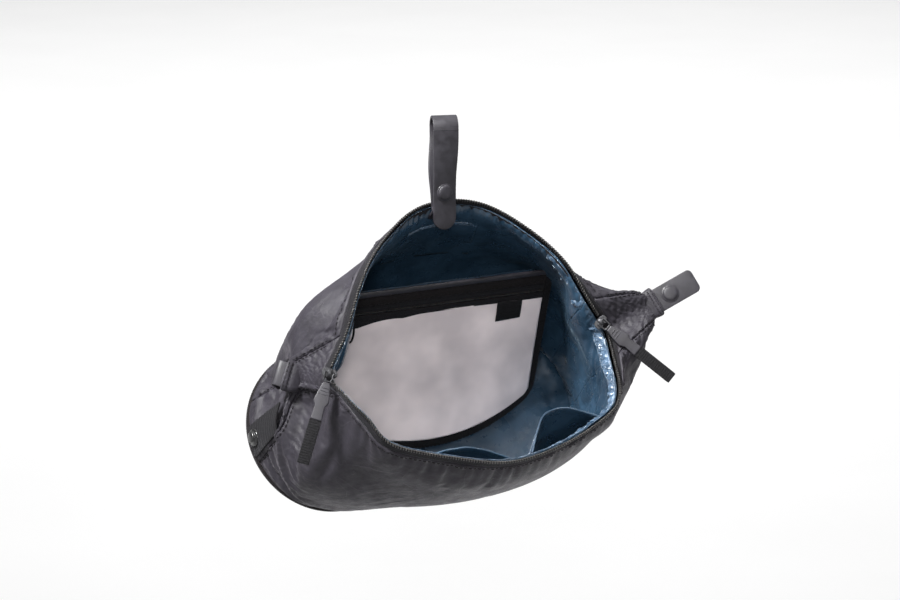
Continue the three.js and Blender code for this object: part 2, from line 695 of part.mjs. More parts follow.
function dividerPocket() {
  const w = POCKET_HALF_WIDTH;
  const flat = (name, x0, x1, y0, y1, z, thickness, slot) =>
    mesh(name, box(x0, x1, y0, y1, z, z + thickness), slot);
  const sliderX = w - 20;
  const loop = new THREE.Shape();
  loop.absellipse(0, 11, 3.6, 11, 0, 2 * Math.PI);
  loop.holes.push(new THREE.Path().absellipse(0, 11, 2, 9.2, 0, 2 * Math.PI));
  const pull = mesh("pocket_pull", plate(loop, 1.6), "webbing");
  pull.position.set(sliderX, 20, 4.4);
  const backY = [6, POCKET_HEIGHT - 7];
  const backZ = -POCKET_DEPTH - LINING_THICKNESS;
  const parts = [
    flat("pocket_top_hem", -w, w, 0, 13, -1, 2, "webbing"),
    flat("pocket_tape_upper", -w, w, 13.3, 18, -0.6, 1.2, "zip"),
    flat("pocket_coil", -w, w, 18.3, 20.3, -0.8, 1.8, "zip"),
    flat("pocket_tape_lower", -w, w, 20.6, 25.7, -0.6, 1.2, "zip"),
    flat("pocket_slider", sliderX - 5, sliderX + 5, 15.5, 23, 1.4, 2.6, "slider"),
    flat("pocket_back", 5 - w, w - 5, ...backY, backZ, LINING_THICKNESS, "lining"),
    pocketCloth("pocket_window", -w, w, POCKET_ZIP_END, POCKET_HEIGHT, -0.5, 1, "window"),
    pocketCloth("pocket_label", -79, -55, 27, 40, 1.4, 0.8, "webbing", 3, 2),
    pocketBinding(),
    pull,
  ];
  const [depth, z] = POCKET_TOP;
  return placed([0, depth, z], [-1, 0, 0], [0, ...POCKET_HANG], parts);
}

// ---- slip pockets on the front lining and the facing that the hang strap is sewn behind ----

function insideLining(station, level, distance) {
  const du = lining(station + 0.05, level).sub(lining(station - 0.05, level));
  const dv = lining(station, level + 0.02).sub(lining(station, level - 0.02));
  return lining(station, level).addScaledVector(du.cross(dv).normalize(), -distance);
}

function slipPocket(name, first, last, gape) {
  const [near, far] = [0.28, 1.9];
  const surface = (u, v) => {
    const distance = 3 + gape * Math.sin(Math.PI * u) * (1 - v) ** 1.3;
    return insideLining(first + u * (last - first), near + v * (far - near), distance);
  };
  return mesh(name, sheet(surface, 10, 7, LINING_THICKNESS), "lining");
}

function strapFacing() {
  const [first, last, near, far] = [-0.85, 0.9, 0.75, 1.75];
  const surface = (u, v) =>
    insideLining(STATIONS.length + first + u * (last - first), near + v * (far - near), 5.4);
  return mesh("strap_facing", sheet(surface, 8, 5, LINING_THICKNESS), "lining");
}

// ---- the hang strap, drawn in the row's own frame ----

const bag = new THREE.Group();
bag.rotation.x = -degrees(BAG_TILT);
bag.position.set(...BAG_CENTRE);
bag.updateMatrixWorld(true);

const RAIL_TURN = -18; // degrees: the rail is not quite parallel to the bag, so the strap twists
const TWIST_FROM = -14; // heights between which it twists
const TWIST_TO = -50;
const STRAP_LEAN = -3.2; // how far to the left the bottom of the strap is of its top

// The strap's centre line as [y, z], from the facing up behind the rail and over it.
function strapPath() {
  const inside = [1.25, 0.95, 0.65].map((level) => {
    const p = insideLining(STATIONS.length, level, 3.8).applyMatrix4(bag.matrixWorld);
    return [p.y, p.z];
  });
  const lipToRail = [
    [-3.6, -74],
    [-3.6, -69],
    [-2.1, SNAP_HEIGHT],
    [-0.3, TWIST_TO],
    [3.4, -34],
    [8.2, -16],
  ];
  const radius = RAIL_RADIUS + STRAP_THICKNESS / 2;
  const steps = 10;
  const overRail = [];
  for (let i = 0; i <= steps; i++) {
    const turn = (Math.PI * i) / steps;
    overRail.push([radius * Math.cos(turn), -RAIL_RADIUS + radius * Math.sin(turn)]);
  }
  return [...inside, ...lipToRail, ...overRail];
}

const FLAP_PATH = [
  [-9.1, -8.4],
  [-8.9, -16],
  [-7.4, -36],
  [-6.9, TWIST_TO],
  [-6.6, SNAP_HEIGHT],
  [-6.8, -74],
  [-7.2, FLAP_END],
];

// Turns a geometry drawn in x-y and thick along z into one drawn in y-z and thick along x.
const sideways = (geometry) => geometry.rotateY(Math.PI / 2).rotateX(Math.PI / 2);

const twistAt = (z) => degrees(RAIL_TURN) * THREE.MathUtils.smoothstep(z, TWIST_TO, TWIST_FROM);
const leanAt = (z) => STRAP_LEAN * (1 - THREE.MathUtils.smoothstep(z, TWIST_TO, TWIST_FROM));

// Each height of the strap is turned about the upright line through the origin, and moved aside.
function hung(geometry) {
  const places = geometry.attributes.position;
  const p = new THREE.Vector3();
  for (let i = 0; i < places.count; i++) {
    p.fromBufferAttribute(places, i);
    const [turn, lean] = [twistAt(p.z), leanAt(p.z)];
    p.applyAxisAngle(new THREE.Vector3(0, 0, 1), turn);
    places.setXYZ(i, p.x + lean, p.y, p.z);
  }
  geometry.computeVertexNormals();
  return geometry;
}

function hangStrap() {
  const back = mesh("hang_strap", hung(sideways(ribbon(strapPath(), STRAP_WIDTH))), "rubber");
  const rounded = roundedRectangle(FLAP_END, 0, STRAP_WIDTH / 2, STRAP_WIDTH / 2 - 0.01, 0.5);
  const outline = plate(rounded, 40, 8).rotateY(-Math.PI / 2).rotateZ(Math.PI / 2);
  const flapSolid = solidOf(sideways(ribbon(FLAP_PATH, STRAP_WIDTH)));
  const trimmed = flapSolid.intersect(solidOf(outline.translate(0, 20, 0)));
  const flap = mesh("hang_strap_flap", hung(geometryOf(trimmed)), "rubber");
  const snap = (name, geometry, y, slot) => {
    const turn = twistAt(SNAP_HEIGHT);
    const made = mesh(name, geometry, slot);
    made.rotation.z = turn;
    made.position.set(leanAt(SNAP_HEIGHT) - y * Math.sin(turn), y * Math.cos(turn), SNAP_HEIGHT);
    return made;
  };
  const forward = (geometry) => geometry.rotateX(Math.PI);
  return [
    back,
    flap,
    snap("hang_snap_cap", forward(snapDome(CAP_RADIUS, 2.6)), -8.1, "rubber"),
    snap("hang_snap_socket", forward(disc(5, 1, 2.2)), -4.1, "snap"),
    snap("hang_snap_stud", forward(snapDome(1.8, 1.2)), -3.6, "snap"),
    snap("hang_snap_rivet", disc(4.5, 0.8), 0.2, "snap"),
  ];
}

bag.add(
  ...shellPieces(),
  ...liningPieces(),
  ...basePieces(),
  ...zipPieces(),
  ...Object.keys(ZIP_ENDS).map(zipEnd),
  rightTab(),
  leftTab(),
  ...["right", "left"].flatMap(endBand),
  dividerPocket(),
  slipPocket("slip_pocket_left", 11.2, 9.9, 9),
  slipPocket("slip_pocket_right", 9.5, 8.1, 24),
  strapFacing(),
);

const toiletryBag = new THREE.Group();
toiletryBag.add(bag, ...hangStrap());
export default toiletryBag;
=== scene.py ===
# The looks of a hanging toiletry bag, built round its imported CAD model. Metres, +Z up.
# The bag's own frame is (x along the bag, y depth from the mouth to the base, z up the mouth),
# in millimetres, as in the CAD source; bag_to_row() brings it to the row's frame.
import math

import bmesh
import bpy
import numpy as np
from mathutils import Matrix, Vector, noise


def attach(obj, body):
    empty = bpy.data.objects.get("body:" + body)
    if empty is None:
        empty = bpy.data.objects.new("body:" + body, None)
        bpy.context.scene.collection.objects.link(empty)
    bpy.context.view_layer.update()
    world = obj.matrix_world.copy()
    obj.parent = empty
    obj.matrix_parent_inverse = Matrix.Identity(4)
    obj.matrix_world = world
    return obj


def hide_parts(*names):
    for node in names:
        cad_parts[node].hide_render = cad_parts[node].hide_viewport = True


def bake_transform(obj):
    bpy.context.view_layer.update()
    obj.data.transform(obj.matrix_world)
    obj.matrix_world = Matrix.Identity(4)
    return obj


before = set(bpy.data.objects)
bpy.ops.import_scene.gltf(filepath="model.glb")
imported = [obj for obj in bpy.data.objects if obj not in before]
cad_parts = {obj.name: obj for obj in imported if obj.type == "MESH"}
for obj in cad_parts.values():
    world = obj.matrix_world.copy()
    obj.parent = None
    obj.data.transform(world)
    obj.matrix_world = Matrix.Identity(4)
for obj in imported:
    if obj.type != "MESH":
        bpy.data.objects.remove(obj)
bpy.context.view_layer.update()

MM = 0.001
BAG_TILT = math.radians(30)
BAG_CENTRE = np.array([2.0, -50.5, -156.6])
BAG_DEPTH = 135.0
BASE_CENTRE = (-2.0, -37.0)
BASE_HALF_STRAIGHT = 82.0
BASE_RADIUS = 68.0
TAPE_WIDTH = 6.2
STRAP_WIDTH = 20.0
STRAP_THICKNESS = 2.2
RAIL_RADIUS = 8.0

# Stations round the bag, clockwise from the middle of the back: mouth, shoulder and waist as
# (x, z, depth), then the place on the base as ("back" | "front", x) or ("angle", degrees).
STATIONS = [
    ((0, 103, 0), (0, 98, 30), (0, 80, 80), ("back", 0)),
    ((35, 95, 0), (42, 92, 30), (50, 76, 80), ("back", 42)),
    ((69, 69, 0), (85, 69, 32), (94, 60, 82), ("back", 82)),
    ((92, 40, 0), (118, 40, 34), (129, 35, 86), ("angle", 55)),
    ((108, 10, 8), (163, 9, 11), (141, 6, 85), ("angle", 28)),
    ((124, -15, 20), (166.5, -1, 10), (144, -18, 80), ("angle", 8)),
    ((120, -40, 12), (167, -14, 11), (142, -44, 76), ("angle", -16)),
    ((110, -72, 0), (123, -72, 25), (130, -72, 70), ("angle", -48)),
    ((94, -88, 0), (103, -92, 28), (106, -94, 68), ("front", 84)),
    ((50, -105, 0), (52, -112, 30), (56, -113, 72), ("front", 42)),
    ((0, -112, 0), (0, -119, 30), (0, -120, 75), ("front", 0)),
    ((-50, -101, 0), (-52, -110, 32), (-55, -116, 78), ("front", -42)),
    ((-96, -84, 0), (-100, -91, 34), (-104, -103, 80), ("front", -86)),
    ((-111, -60, 2), (-123, -64, 36), (-139, -78, 80), ("angle", -132)),
    ((-120, -40, 10), (-132, -19, 62), (-147, -45, 82), ("angle", -164)),
    ((-124, -18, 20), (-134.5, -8, 62), (-141, -24, 82), ("angle", -186)),
    ((-108, 10, 8), (-137, 3, 62), (-119, 3, 84), ("angle", -208)),
    ((-92, 42, 0), (-129, 39, 46), (-129, 29, 92), ("angle", -235)),
    ((-70, 70, 0), (-83, 68, 34), (-93, 59, 84), ("back", -86)),
    ((-35, 96, 0), (-40, 90, 30), (-49, 76, 80), ("back", -42)),
]
COUNT = len(STATIONS)
RIGHT_EAR, LEFT_EAR = 5, 15
RIGHT_SLIDER, LEFT_SLIDER = 4.7, 15.0


# ---- frames and splines ----

def bag_to_row(points):
    """Points of the bag's frame in mm, (..., 3) as x, depth, z, to the row frame in metres."""
    p = np.asarray(points, float)
    x, y, z = p[..., 0], p[..., 1], p[..., 2]
    c, s = math.cos(BAG_TILT), math.sin(BAG_TILT)
    row = np.stack([x, y * c + z * s, z * c - y * s], axis=-1) + BAG_CENTRE
    return row * MM


def unit(v):
    v = np.asarray(v, float)
    return v / np.maximum(np.linalg.norm(v, axis=-1, keepdims=True), 1e-12)


def catmull(points, t, closed=False):
    """A Catmull-Rom curve through points (n, ...), at t counted in points."""
    points = np.asarray(points, float)
    t = np.asarray(t, float)
    low = np.floor(t).astype(int)
    if closed:
        first = low - 1
    else:
        low = first = np.clip(low, 0, len(points) - 2)
        points = np.concatenate([[2 * points[0] - points[1]], points, [2 * points[-1] - points[-2]]])
    f = (t - low).reshape(t.shape + (1,) * (points.ndim - 1))
    p0, p1, p2, p3 = (points[(first + k) % len(points)] for k in range(4))
    a = 2 * p1
    b = p2 - p0
    c = 2 * p0 - 5 * p1 + 4 * p2 - p3
    d = 3 * (p1 - p2) + p3 - p0
    return 0.5 * (a + b * f + c * f**2 + d * f**3)


def depth_order(ring):
    """(x, z, depth) triples to x, depth, z."""
    return np.array([(x, d, z) for x, z, d in ring], float)


def base_ring(radius, depth):
    ring = []
    for *_, (kind, value) in STATIONS:
        cx, cz = BASE_CENTRE
        if kind == "angle":
            turn = math.radians(value)
            side = math.copysign(BASE_HALF_STRAIGHT, math.cos(turn))
            ring.append((cx + side + radius * math.cos(turn), cz + radius * math.sin(turn), depth))
        else:
            ring.append((cx + value, cz + (radius if kind == "back" else -radius), depth))
    return ring


def loft(rings, stations, levels):
    """Points (levels, stations, 3) of the surface through closed rings; levels may be 2-D."""
    curves = np.array([catmull(depth_order(r), stations, closed=True) for r in rings])
    levels = np.asarray(levels, float)
    if levels.ndim == 1:
        return catmull(curves, levels)
    out = np.empty(levels.shape + (3,))
    for j in range(len(stations)):
        out[:, j] = catmull(curves[:, j], levels[:, j])
    return out


SHELL_RINGS = [
    [s[0] for s in STATIONS],
    [s[1] for s in STATIONS],
    [s[2] for s in STATIONS],
    base_ring(BASE_RADIUS - 1, BAG_DEPTH),
]


def normals(grid, closed=False):
    """Outward unit normals of a (levels, stations, 3) grid."""
    if closed:
        du = np.roll(grid, -1, axis=1) - np.roll(grid, 1, axis=1)
    else:
        du = np.gradient(grid, axis=1)
    dv = np.gradient(grid, axis=0)
    return unit(np.cross(du, dv))


# ---- meshes ----

def mesh_object(name, verts, faces):
    data = bpy.data.meshes.new(name)
    data.from_pydata(np.asarray(verts, float).tolist(), [], faces)
    data.shade_smooth()
    piece = bpy.data.objects.new(name, data)
    bpy.context.collection.objects.link(piece)
    return piece


def grid_faces(rows, columns, closed=False):
    faces = []
    for j in range(rows - 1):
        for i in range(columns if closed else columns - 1):
            k = (i + 1) % columns
            low, high = j * columns, (j + 1) * columns
            faces.append((low + i, low + k, high + k, high + i))
    return faces


def tube_faces(rings, count):
    """The faces of a tube of rings with flat ends."""
    ends = [tuple(range(count))[::-1], tuple((rings - 1) * count + k for k in range(count))]
    return grid_faces(rings, count, closed=True) + ends


def sheet_piece(name, grid, thickness, closed=False, to_row=bag_to_row):
    """A sheet over a (rows, columns, 3) grid of mm; its thickness goes inwards."""
    rows, columns = grid.shape[:2]
    outer = to_row(grid)
    inner = to_row(grid - normals(grid, closed) * thickness)
    count = rows * columns
    faces = grid_faces(rows, columns, closed)
    verts = np.concatenate([outer.reshape(-1, 3), inner.reshape(-1, 3)])
    both = faces + [tuple(count + k for k in face[::-1]) for face in faces]
    first, last = list(range(columns)), list(range(count - columns, count))
    rims = [first, last[::-1]]
    if not closed:
        side = [j * columns for j in range(1, rows - 1)]
        rims = [first[::-1] + side + last + [k + columns - 1 for k in side][::-1]]
    for rim in rims:
        for a, b in zip(rim, rim[1:] + rim[:1]):
            both.append((a, b, count + b, count + a))
    piece = mesh_object(name, verts, both)
    tidy_normals(piece)
    return piece


def declare(grid, flat=None):
    """Works out the size and area of a sheet of cloth from its grid, or from flat, in mm, and does nothing
    more with them.
    """
    along = np.linalg.norm(np.diff(grid, axis=1), axis=-1).sum(1).max()
    down = np.linalg.norm(np.diff(grid, axis=0), axis=-1).sum(0).max()
    width, length = np.array(flat or (along, down)) * MM
    across = np.diff(grid[:-1], axis=1)
    down = np.diff(grid[:, :-1], axis=0)
    area = np.linalg.norm(np.cross(across, down), axis=-1).sum() * MM**2
    area = min(area, width * length)


def tidy_normals(piece):
    built = bmesh.new()
    built.from_mesh(piece.data)
    bmesh.ops.recalc_face_normals(built, faces=built.faces)
    for face in built.faces:
        if 4 < len(face.verts) < 240:
            for edge in face.edges:
                edge.smooth = False
    built.to_mesh(piece.data)
    built.free()


def sweep(path, section, side, closed=False):
    """Verts and faces of closed sections (m, 2) or (n, m, 2) carried along path (n, 3).
    side is the direction of the section's first coordinate, for all points or for each."""
    path = np.asarray(path, float)
    along = unit(np.roll(path, -1, 0) - np.roll(path, 1, 0) if closed else np.gradient(path, axis=0))
    side = np.broadcast_to(np.asarray(side, float), path.shape)
    side = unit(side - (side * along).sum(-1, keepdims=True) * along)
    up = np.cross(along, side)
    section = np.asarray(section, float)
    if section.ndim == 2:
        section = np.broadcast_to(section, (len(path),) + section.shape)
    verts = path[:, None] + section[..., :1] * side[:, None] + section[..., 1:] * up[:, None]
    n, m = section.shape[:2]
    if not closed:
        return verts.reshape(-1, 3), tube_faces(n, m)
    faces = grid_faces(n + 1, m, closed=True)
    return verts.reshape(-1, 3), [tuple(k % (n * m) for k in face) for face in faces]


def rounded_section(width, thickness, radius, steps=3):
    points = []
    for sx, sy, start in ((1, 1, 0), (-1, 1, 90), (-1, -1, 180), (1, -1, 270)):
        for k in range(steps + 1):
            turn = math.radians(start + 90 * k / steps)
            x = sx * (width / 2 - radius) + radius * math.cos(turn)
            points.append((x, sy * (thickness / 2 - radius) + radius * math.sin(turn)))
    return np.array(points)


def circle_section(radius, steps=8):
    turns = np.arange(steps) * 2 * math.pi / steps
    return np.stack([radius * np.cos(turns), radius * np.sin(turns)], -1)


def lathe(profile, steps=48):
    """Verts and faces of (radius, height) pairs turned round +z, closed at both ends."""
    turns = np.arange(steps) * 2 * math.pi / steps
    verts = [(r * math.cos(t), r * math.sin(t), h) for r, h in profile for t in turns]
    return np.array(verts), tube_faces(len(profile), steps)


def joined(parts):
    """Several (verts, faces) as one."""
    verts, faces, count = [], [], 0
    for v, f in parts:
        verts.append(v)
        faces += [tuple(k + count for k in face) for face in f]
        count += len(v)
    return np.concatenate(verts), faces


def spaced(path, step):
    """The path's points at even distances of about step."""
    path = np.asarray(path, float)
    walked = np.concatenate([[0], np.cumsum(np.linalg.norm(np.diff(path, axis=0), axis=1))])
    count = max(2, int(round(walked[-1] / step)))
    at = np.linspace(0, walked[-1], count + 1)
    return np.stack([np.interp(at, walked, path[:, k]) for k in range(3)], -1)


def smooth_path(points, per_span=8):
    points = np.asarray(points, float)
    return catmull(points, np.linspace(0, len(points) - 1, per_span * (len(points) - 1) + 1))


def along_path(directions, count):
    """One direction, or any number of them, spread over count points."""
    directions = np.atleast_2d(directions)
    at = np.linspace(0, len(directions) - 1, count)
    return np.stack([np.interp(at, np.arange(len(directions)), d) for d in directions.T], -1)


def helix(path, side, radius, wire, pitch, per_turn=10):
    """A coil of wire round a path, as a zip's nylon coil is."""
    fine = spaced(path, pitch / per_turn)
    along = unit(np.gradient(fine, axis=0))
    side = along_path(side, len(fine))
    side = unit(side - (side * along).sum(-1, keepdims=True) * along)
    up = np.cross(along, side)
    turn = np.arange(len(fine)) * 2 * math.pi / per_turn
    around = np.cos(turn)[:, None] * side + 0.75 * np.sin(turn)[:, None] * up
    return sweep(fine + radius * around, circle_section(wire, 5), along)


STITCH_STEP = 0.5


def stitches(path, outward, length=2.6, gap=1.3, radius=0.4):
    """A row of thread stitches lying on a path; outward is the surface's direction."""
    points = spaced(path, STITCH_STEP)
    outward = along_path(outward, len(points))
    per = int(round(length / STITCH_STEP))
    skip = int(round((length + gap) / STITCH_STEP))
    parts = []
    for start in range(0, len(points) - per, skip):
        run = slice(start, start + per + 1)
        rise = np.sin(np.linspace(0, math.pi, per + 1))[:, None]
        lifted = points[run] + outward[run] * (rise * 0.45 - 0.15)
        parts.append(sweep(lifted, circle_section(radius, 6), outward[start]))
    return joined(parts)


def local_frame(origin, x_axis, y_hint):
    """From a piece's own frame in mm to the row frame; the arguments are in the bag's frame."""
    x = unit(x_axis)
    z = unit(np.cross(x, y_hint))
    axes = np.array([x, np.cross(z, x), z])
    return lambda local: bag_to_row(np.asarray(local, float) @ axes + np.asarray(origin, float))


def facing_frame(origin, axis, to_row):
    """A frame with +z along axis."""
    z = unit(axis)
    x = unit(np.cross(z, [0.3, 0.5, 0.81]))
    axes = np.array([x, np.cross(z, x), z])
    return lambda local: to_row(np.asarray(local, float) @ axes + np.asarray(origin, float))


def moved_frame(place, offset, flip=(1, 1, 1)):
    """A frame set at offset inside another one, with its axes kept or turned over."""
    return lambda local: place(np.asarray(local) * flip + offset)


def wander(points, scale, amount, seed):
    """A smooth random number for each point, from -amount to amount; scale is in mm."""
    shift = Vector((seed * 17.3, seed * 5.1, seed * 9.7))
    flat = np.asarray(points).reshape(-1, 3) / scale
    values = [noise.noise(Vector(p) + shift) for p in flat.tolist()]
    return amount * np.array(values).reshape(np.asarray(points).shape[:-1])


# ---- materials ----

class Look:
    """One procedural material: a Principled shader whose colour, roughness and bump vary."""

    def __init__(self, name, roughness, **sockets):
        self.material = bpy.data.materials.new(name)
        self.material.use_nodes = True
        tree = self.material.node_tree
        self.nodes, self.links = tree.nodes, tree.links
        self.shader = self.nodes["Principled BSDF"]
        self.shader.inputs["Roughness"].default_value = roughness
        for key, value in sockets.items():
            self.shader.inputs[key.replace("_", " ")].default_value = value
        self.where = self.nodes.new("ShaderNodeTexCoord").outputs["Object"]
        self.bumped = None

    def node(self, kind, inputs, **settings):
        """A new node with its settings, each input linked to an output or set to a value."""
        made = self.nodes.new("ShaderNode" + kind)
        for key, value in settings.items():
            setattr(made, key, value)
        for key, value in inputs.items():
            if isinstance(value, bpy.types.NodeSocket):
                self.links.new(value, made.inputs[key])
            else:
                made.inputs[key].default_value = value
        return made

    def math(self, operation, first, second):
        return self.node("Math", {0: first, 1: second}, operation=operation).outputs[0]

    def noise(self, scale, detail=4.0, rough=0.55, stretch=None, distortion=0.0):
        """Noise with `scale` features to the metre."""
        vector = self.where
        if stretch:
            vector = self.node("Mapping", {"Vector": vector, "Scale": stretch}).outputs["Vector"]
        inputs = {"Vector": vector, "Scale": scale, "Detail": detail, "Roughness": rough}
        return self.node("TexNoise", {**inputs, "Distortion": distortion}).outputs["Fac"]

    def weave(self, pitch):
        """Threads crossing square to each other, `pitch` metres apart."""
        inputs = {"Vector": self.where, "Scale": 0.314 / pitch, "Distortion": 0.6, "Detail": 1}
        total = 0.0
        for direction in "XYZ":
            wave = self.node("TexWave", inputs, bands_direction=direction)
            total = self.math("ADD", total, wave.outputs["Fac"])
        return total

    def creases(self, scale, width=0.04):
        """1 on thin crooked lines, such as the creases of a coated cloth, and 0 between them."""
        apart = self.math("SUBTRACT", self.noise(scale, 3, 0.5, distortion=0.6), 0.5)
        return self.ramp(self.math("ABSOLUTE", apart, 0.0), 1.0, 0.0, (0.0, width))

    def ramp(self, value, low, high, at=(0.35, 0.65)):
        made = self.node("ValToRGB", {"Fac": value})
        for element, place, tone in zip(made.color_ramp.elements, at, (low, high)):
            element.position = place
            element.color = (*tone, 1) if isinstance(tone, tuple) else (tone, tone, tone, 1)
        return made.outputs["Color"]

    def lighten(self, colour, mask, tone, most):
        inputs = {"Factor": self.math("MULTIPLY", mask, most), "A": colour, "B": (*tone, 1)}
        return self.node("Mix", inputs, data_type="RGBA").outputs["Result"]

    def colour(self, output):
        self.links.new(output, self.shader.inputs["Base Color"])

    def roughness(self, output):
        self.links.new(output, self.shader.inputs["Roughness"])

    def bump(self, height, distance, strength=1.0):
        inputs = {"Height": height, "Distance": distance, "Strength": strength}
        if self.bumped is not None:
            inputs["Normal"] = self.bumped
        self.bumped = self.node("Bump", inputs).outputs["Normal"]
        self.links.new(self.bumped, self.shader.inputs["Normal"])

    def sheen(self, weight, roughness, tint):
        self.shader.inputs["Sheen Weight"].default_value = weight
        self.shader.inputs["Sheen Roughness"].default_value = roughness
        self.shader.inputs["Sheen Tint"].default_value = (*tint, 1)


def shell_look():
    """Coated polyester: plum charcoal, matt, with faint crease lines where it has been folded."""
    look = Look("shell_fabric", 0.6, Specular_IOR_Level=0.3)
    look.sheen(0.05, 0.4, (0.9, 0.82, 0.95))
    mottled = look.noise(75, 7, 0.66)
    tone = look.ramp(mottled, (0.0085, 0.0074, 0.0105), (0.0195, 0.0175, 0.024), (0.28, 0.74))
    lines = look.creases(26, 0.01)
    look.colour(look.lighten(tone, lines, (0.042, 0.039, 0.048), 0.2))
    look.roughness(look.ramp(look.noise(120), 0.52, 0.68))
    look.bump(look.noise(38, 4, 0.6), 0.004, 0.35)
    look.bump(look.noise(110, 5, 0.65), 0.0012, 0.2)
    look.bump(lines, 0.0003, 0.4)
    look.bump(look.weave(0.0006), 0.00006, 0.5)
    return look.material


def lining_look():
    """Thin shiny petrol-blue nylon in broad soft folds."""
    look = Look("lining_fabric", 0.3, Specular_IOR_Level=0.5, Coat_Weight=0.1, Coat_Roughness=0.2)
    look.sheen(0.04, 0.3, (0.55, 0.75, 0.95))
    tone = look.ramp(look.noise(30, 4, 0.6), (0.0095, 0.0235, 0.042), (0.0195, 0.043, 0.072))
    look.colour(tone)
    look.roughness(look.ramp(look.noise(90), 0.24, 0.36))
    look.bump(look.noise(13, 2, 0.4, stretch=(1.5, 1, 0.6), distortion=0.4), 0.006, 0.5)
    look.bump(look.noise(60, 2, 0.45), 0.0005, 0.2)
    look.bump(look.weave(0.0008), 0.00002, 0.15)
    return look.material


def facing_look():
    """The lining's own cloth where it is sewn to the zip, puckered and catching the light; its colour is a
    painted lit copy of the lining, with painted highlight streaks and pale painted glints along its
    creases.
    """
    look = Look("lining_facing", 0.26, Specular_IOR_Level=0.8, Coat_Weight=0.4, Coat_Roughness=0.18)
    look.sheen(0.4, 0.3, (0.7, 0.85, 1.0))
    # Painted highlights: stretched streaks along the strip carry the tone from the lining's dark blue up to
    # a lit pale blue, a lighter copy of the lining fabric.
    painted_highlight_streaks = look.noise(70, 4, 0.6, stretch=(1.4, 1, 0.4))
    tone = look.ramp(painted_highlight_streaks, (0.008, 0.022, 0.042), (0.06, 0.1, 0.155), (0.35, 0.7))
    # Painted highlights: pale blue glints laid along thin crease lines.
    lines = look.creases(85, 0.02)
    look.colour(look.lighten(tone, lines, (0.22, 0.31, 0.42), 0.5))
    look.bump(look.noise(95, 4, 0.55, stretch=(1.4, 1, 0.4), distortion=0.8), 0.004, 0.9)
    look.bump(look.weave(0.0008), 0.00002, 0.15)
    return look.material


def rubber_look():
    """Matt synthetic rubber with a faint cloudy bloom."""
    look = Look("rubber_strap", 0.5, Specular_IOR_Level=0.4)
    cloud = look.noise(150, 4, 0.6)
    look.colour(look.ramp(cloud, (0.0105, 0.0095, 0.0125), (0.0185, 0.0172, 0.0222)))
    look.roughness(look.ramp(cloud, 0.42, 0.58))
    look.bump(look.noise(2200, 2), 0.0001, 0.35)
    return look.material


def tape_look(name, low, high, pitch, sheen):
    """A plain narrow woven tape."""
    look = Look(name, 0.8, Specular_IOR_Level=0.15)
    look.sheen(sheen, 0.4, (0.9, 0.9, 1.0))
    tone = look.noise(900, 3)
    look.colour(look.ramp(tone, low, high))
    look.bump(look.weave(pitch), 0.00012, 0.8)
    look.bump(tone, 0.0002, 0.4)
    return look.material


def smooth_look(name, low, high, rough, metallic, coat):
    look = Look(name, rough[0], Metallic=metallic, Coat_Weight=coat)
    tone = look.noise(420, 3)
    look.colour(look.ramp(tone, low, high))
    look.roughness(look.ramp(tone, *rough))
    look.bump(look.noise(1500, 2), 0.00005, 0.3)
    return look.material


def window_look():
    """Frosted translucent film, cloudy, a little clearer in places."""
    look = Look("clear_window", 0.35, Transmission_Weight=0.15, IOR=1.3)
    cloud = look.noise(16, 3, 0.5)
    look.colour(look.ramp(cloud, (0.66, 0.59, 0.60), (0.95, 0.85, 0.85), (0.38, 0.62)))
    look.roughness(look.ramp(cloud, 0.3, 0.45))
    look.bump(look.noise(40, 3), 0.002, 0.2)
    return look.material


# Woven tapes: darkest and lightest tone, spacing of the threads in metres, sheen.
TAPES = {
    "zip_tape": ((0.0035, 0.0033, 0.0039), (0.0095, 0.009, 0.0108), 0.0007, 0.08),
    "black_webbing": ((0.0028, 0.0027, 0.003), (0.0075, 0.0071, 0.0083), 0.0009, 0.05),
    "binding_tape": ((0.004, 0.0032, 0.0034), (0.012, 0.0098, 0.0102), 0.001, 0.05),
    "thread": ((0.0035, 0.003, 0.0038), (0.011, 0.0095, 0.0115), 0.0004, 0.03),
}
# Smooth parts: darkest and lightest tone, least and most roughness, metal, clear coat.
SMOOTH = {
    "zip_coil": ((0.008, 0.0072, 0.0066), (0.036, 0.033, 0.029), (0.3, 0.45), 0.0, 0.1),
    "slider_metal": ((0.009, 0.009, 0.0105), (0.028, 0.028, 0.032), (0.35, 0.5), 0.4, 0.0),
    "snap_metal": ((0.006, 0.006, 0.0065), (0.013, 0.013, 0.014), (0.22, 0.36), 0.2, 0.3),
}
MATERIALS = {
    "shell_fabric": shell_look(),
    "lining_fabric": lining_look(),
    "lining_facing": facing_look(),
    "rubber_strap": rubber_look(),
    "clear_window": window_look(),
    **{name: tape_look(name, *values) for name, values in TAPES.items()},
    **{name: smooth_look(name, *values) for name, values in SMOOTH.items()},
}


def dress(piece, look, body="bag", replaces=()):
    """Gives a piece its material and its body, and hides the parts of the model that it stands for."""
    piece.data.materials.clear()
    piece.data.materials.append(MATERIALS[look])
    if body:
        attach(piece, body)
    if replaces:
        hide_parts(*replaces)
    return piece


def make(name, shape, look, body="bag", replaces=(), to_row=bag_to_row):
    verts, faces = shape
    piece = mesh_object(name, to_row(verts), faces)
    tidy_normals(piece)
    return dress(piece, look, body, replaces)


# ---- camera, light and floor ----

def make_camera():
    azimuth, elevation, distance = math.radians(-28), math.radians(14.5), 2.2
    target = Vector((0.00534, 0, -0.14833))
    back = Vector((
        math.sin(azimuth) * math.cos(elevation),
        -math.cos(azimuth) * math.cos(elevation),
        math.sin(elevation),
    ))
    data = bpy.data.cameras.new("camera")
    data.lens, data.sensor_width = 110, 36
    data.clip_start, data.clip_end = 0.05, 100
    camera = bpy.data.objects.new("camera", data)
    bpy.context.collection.objects.link(camera)
    camera.location = target + back * distance
    camera.rotation_mode = "QUATERNION"
    camera.rotation_quaternion = (-back).to_track_quat("-Z", "Y")
    bpy.context.scene.camera = camera


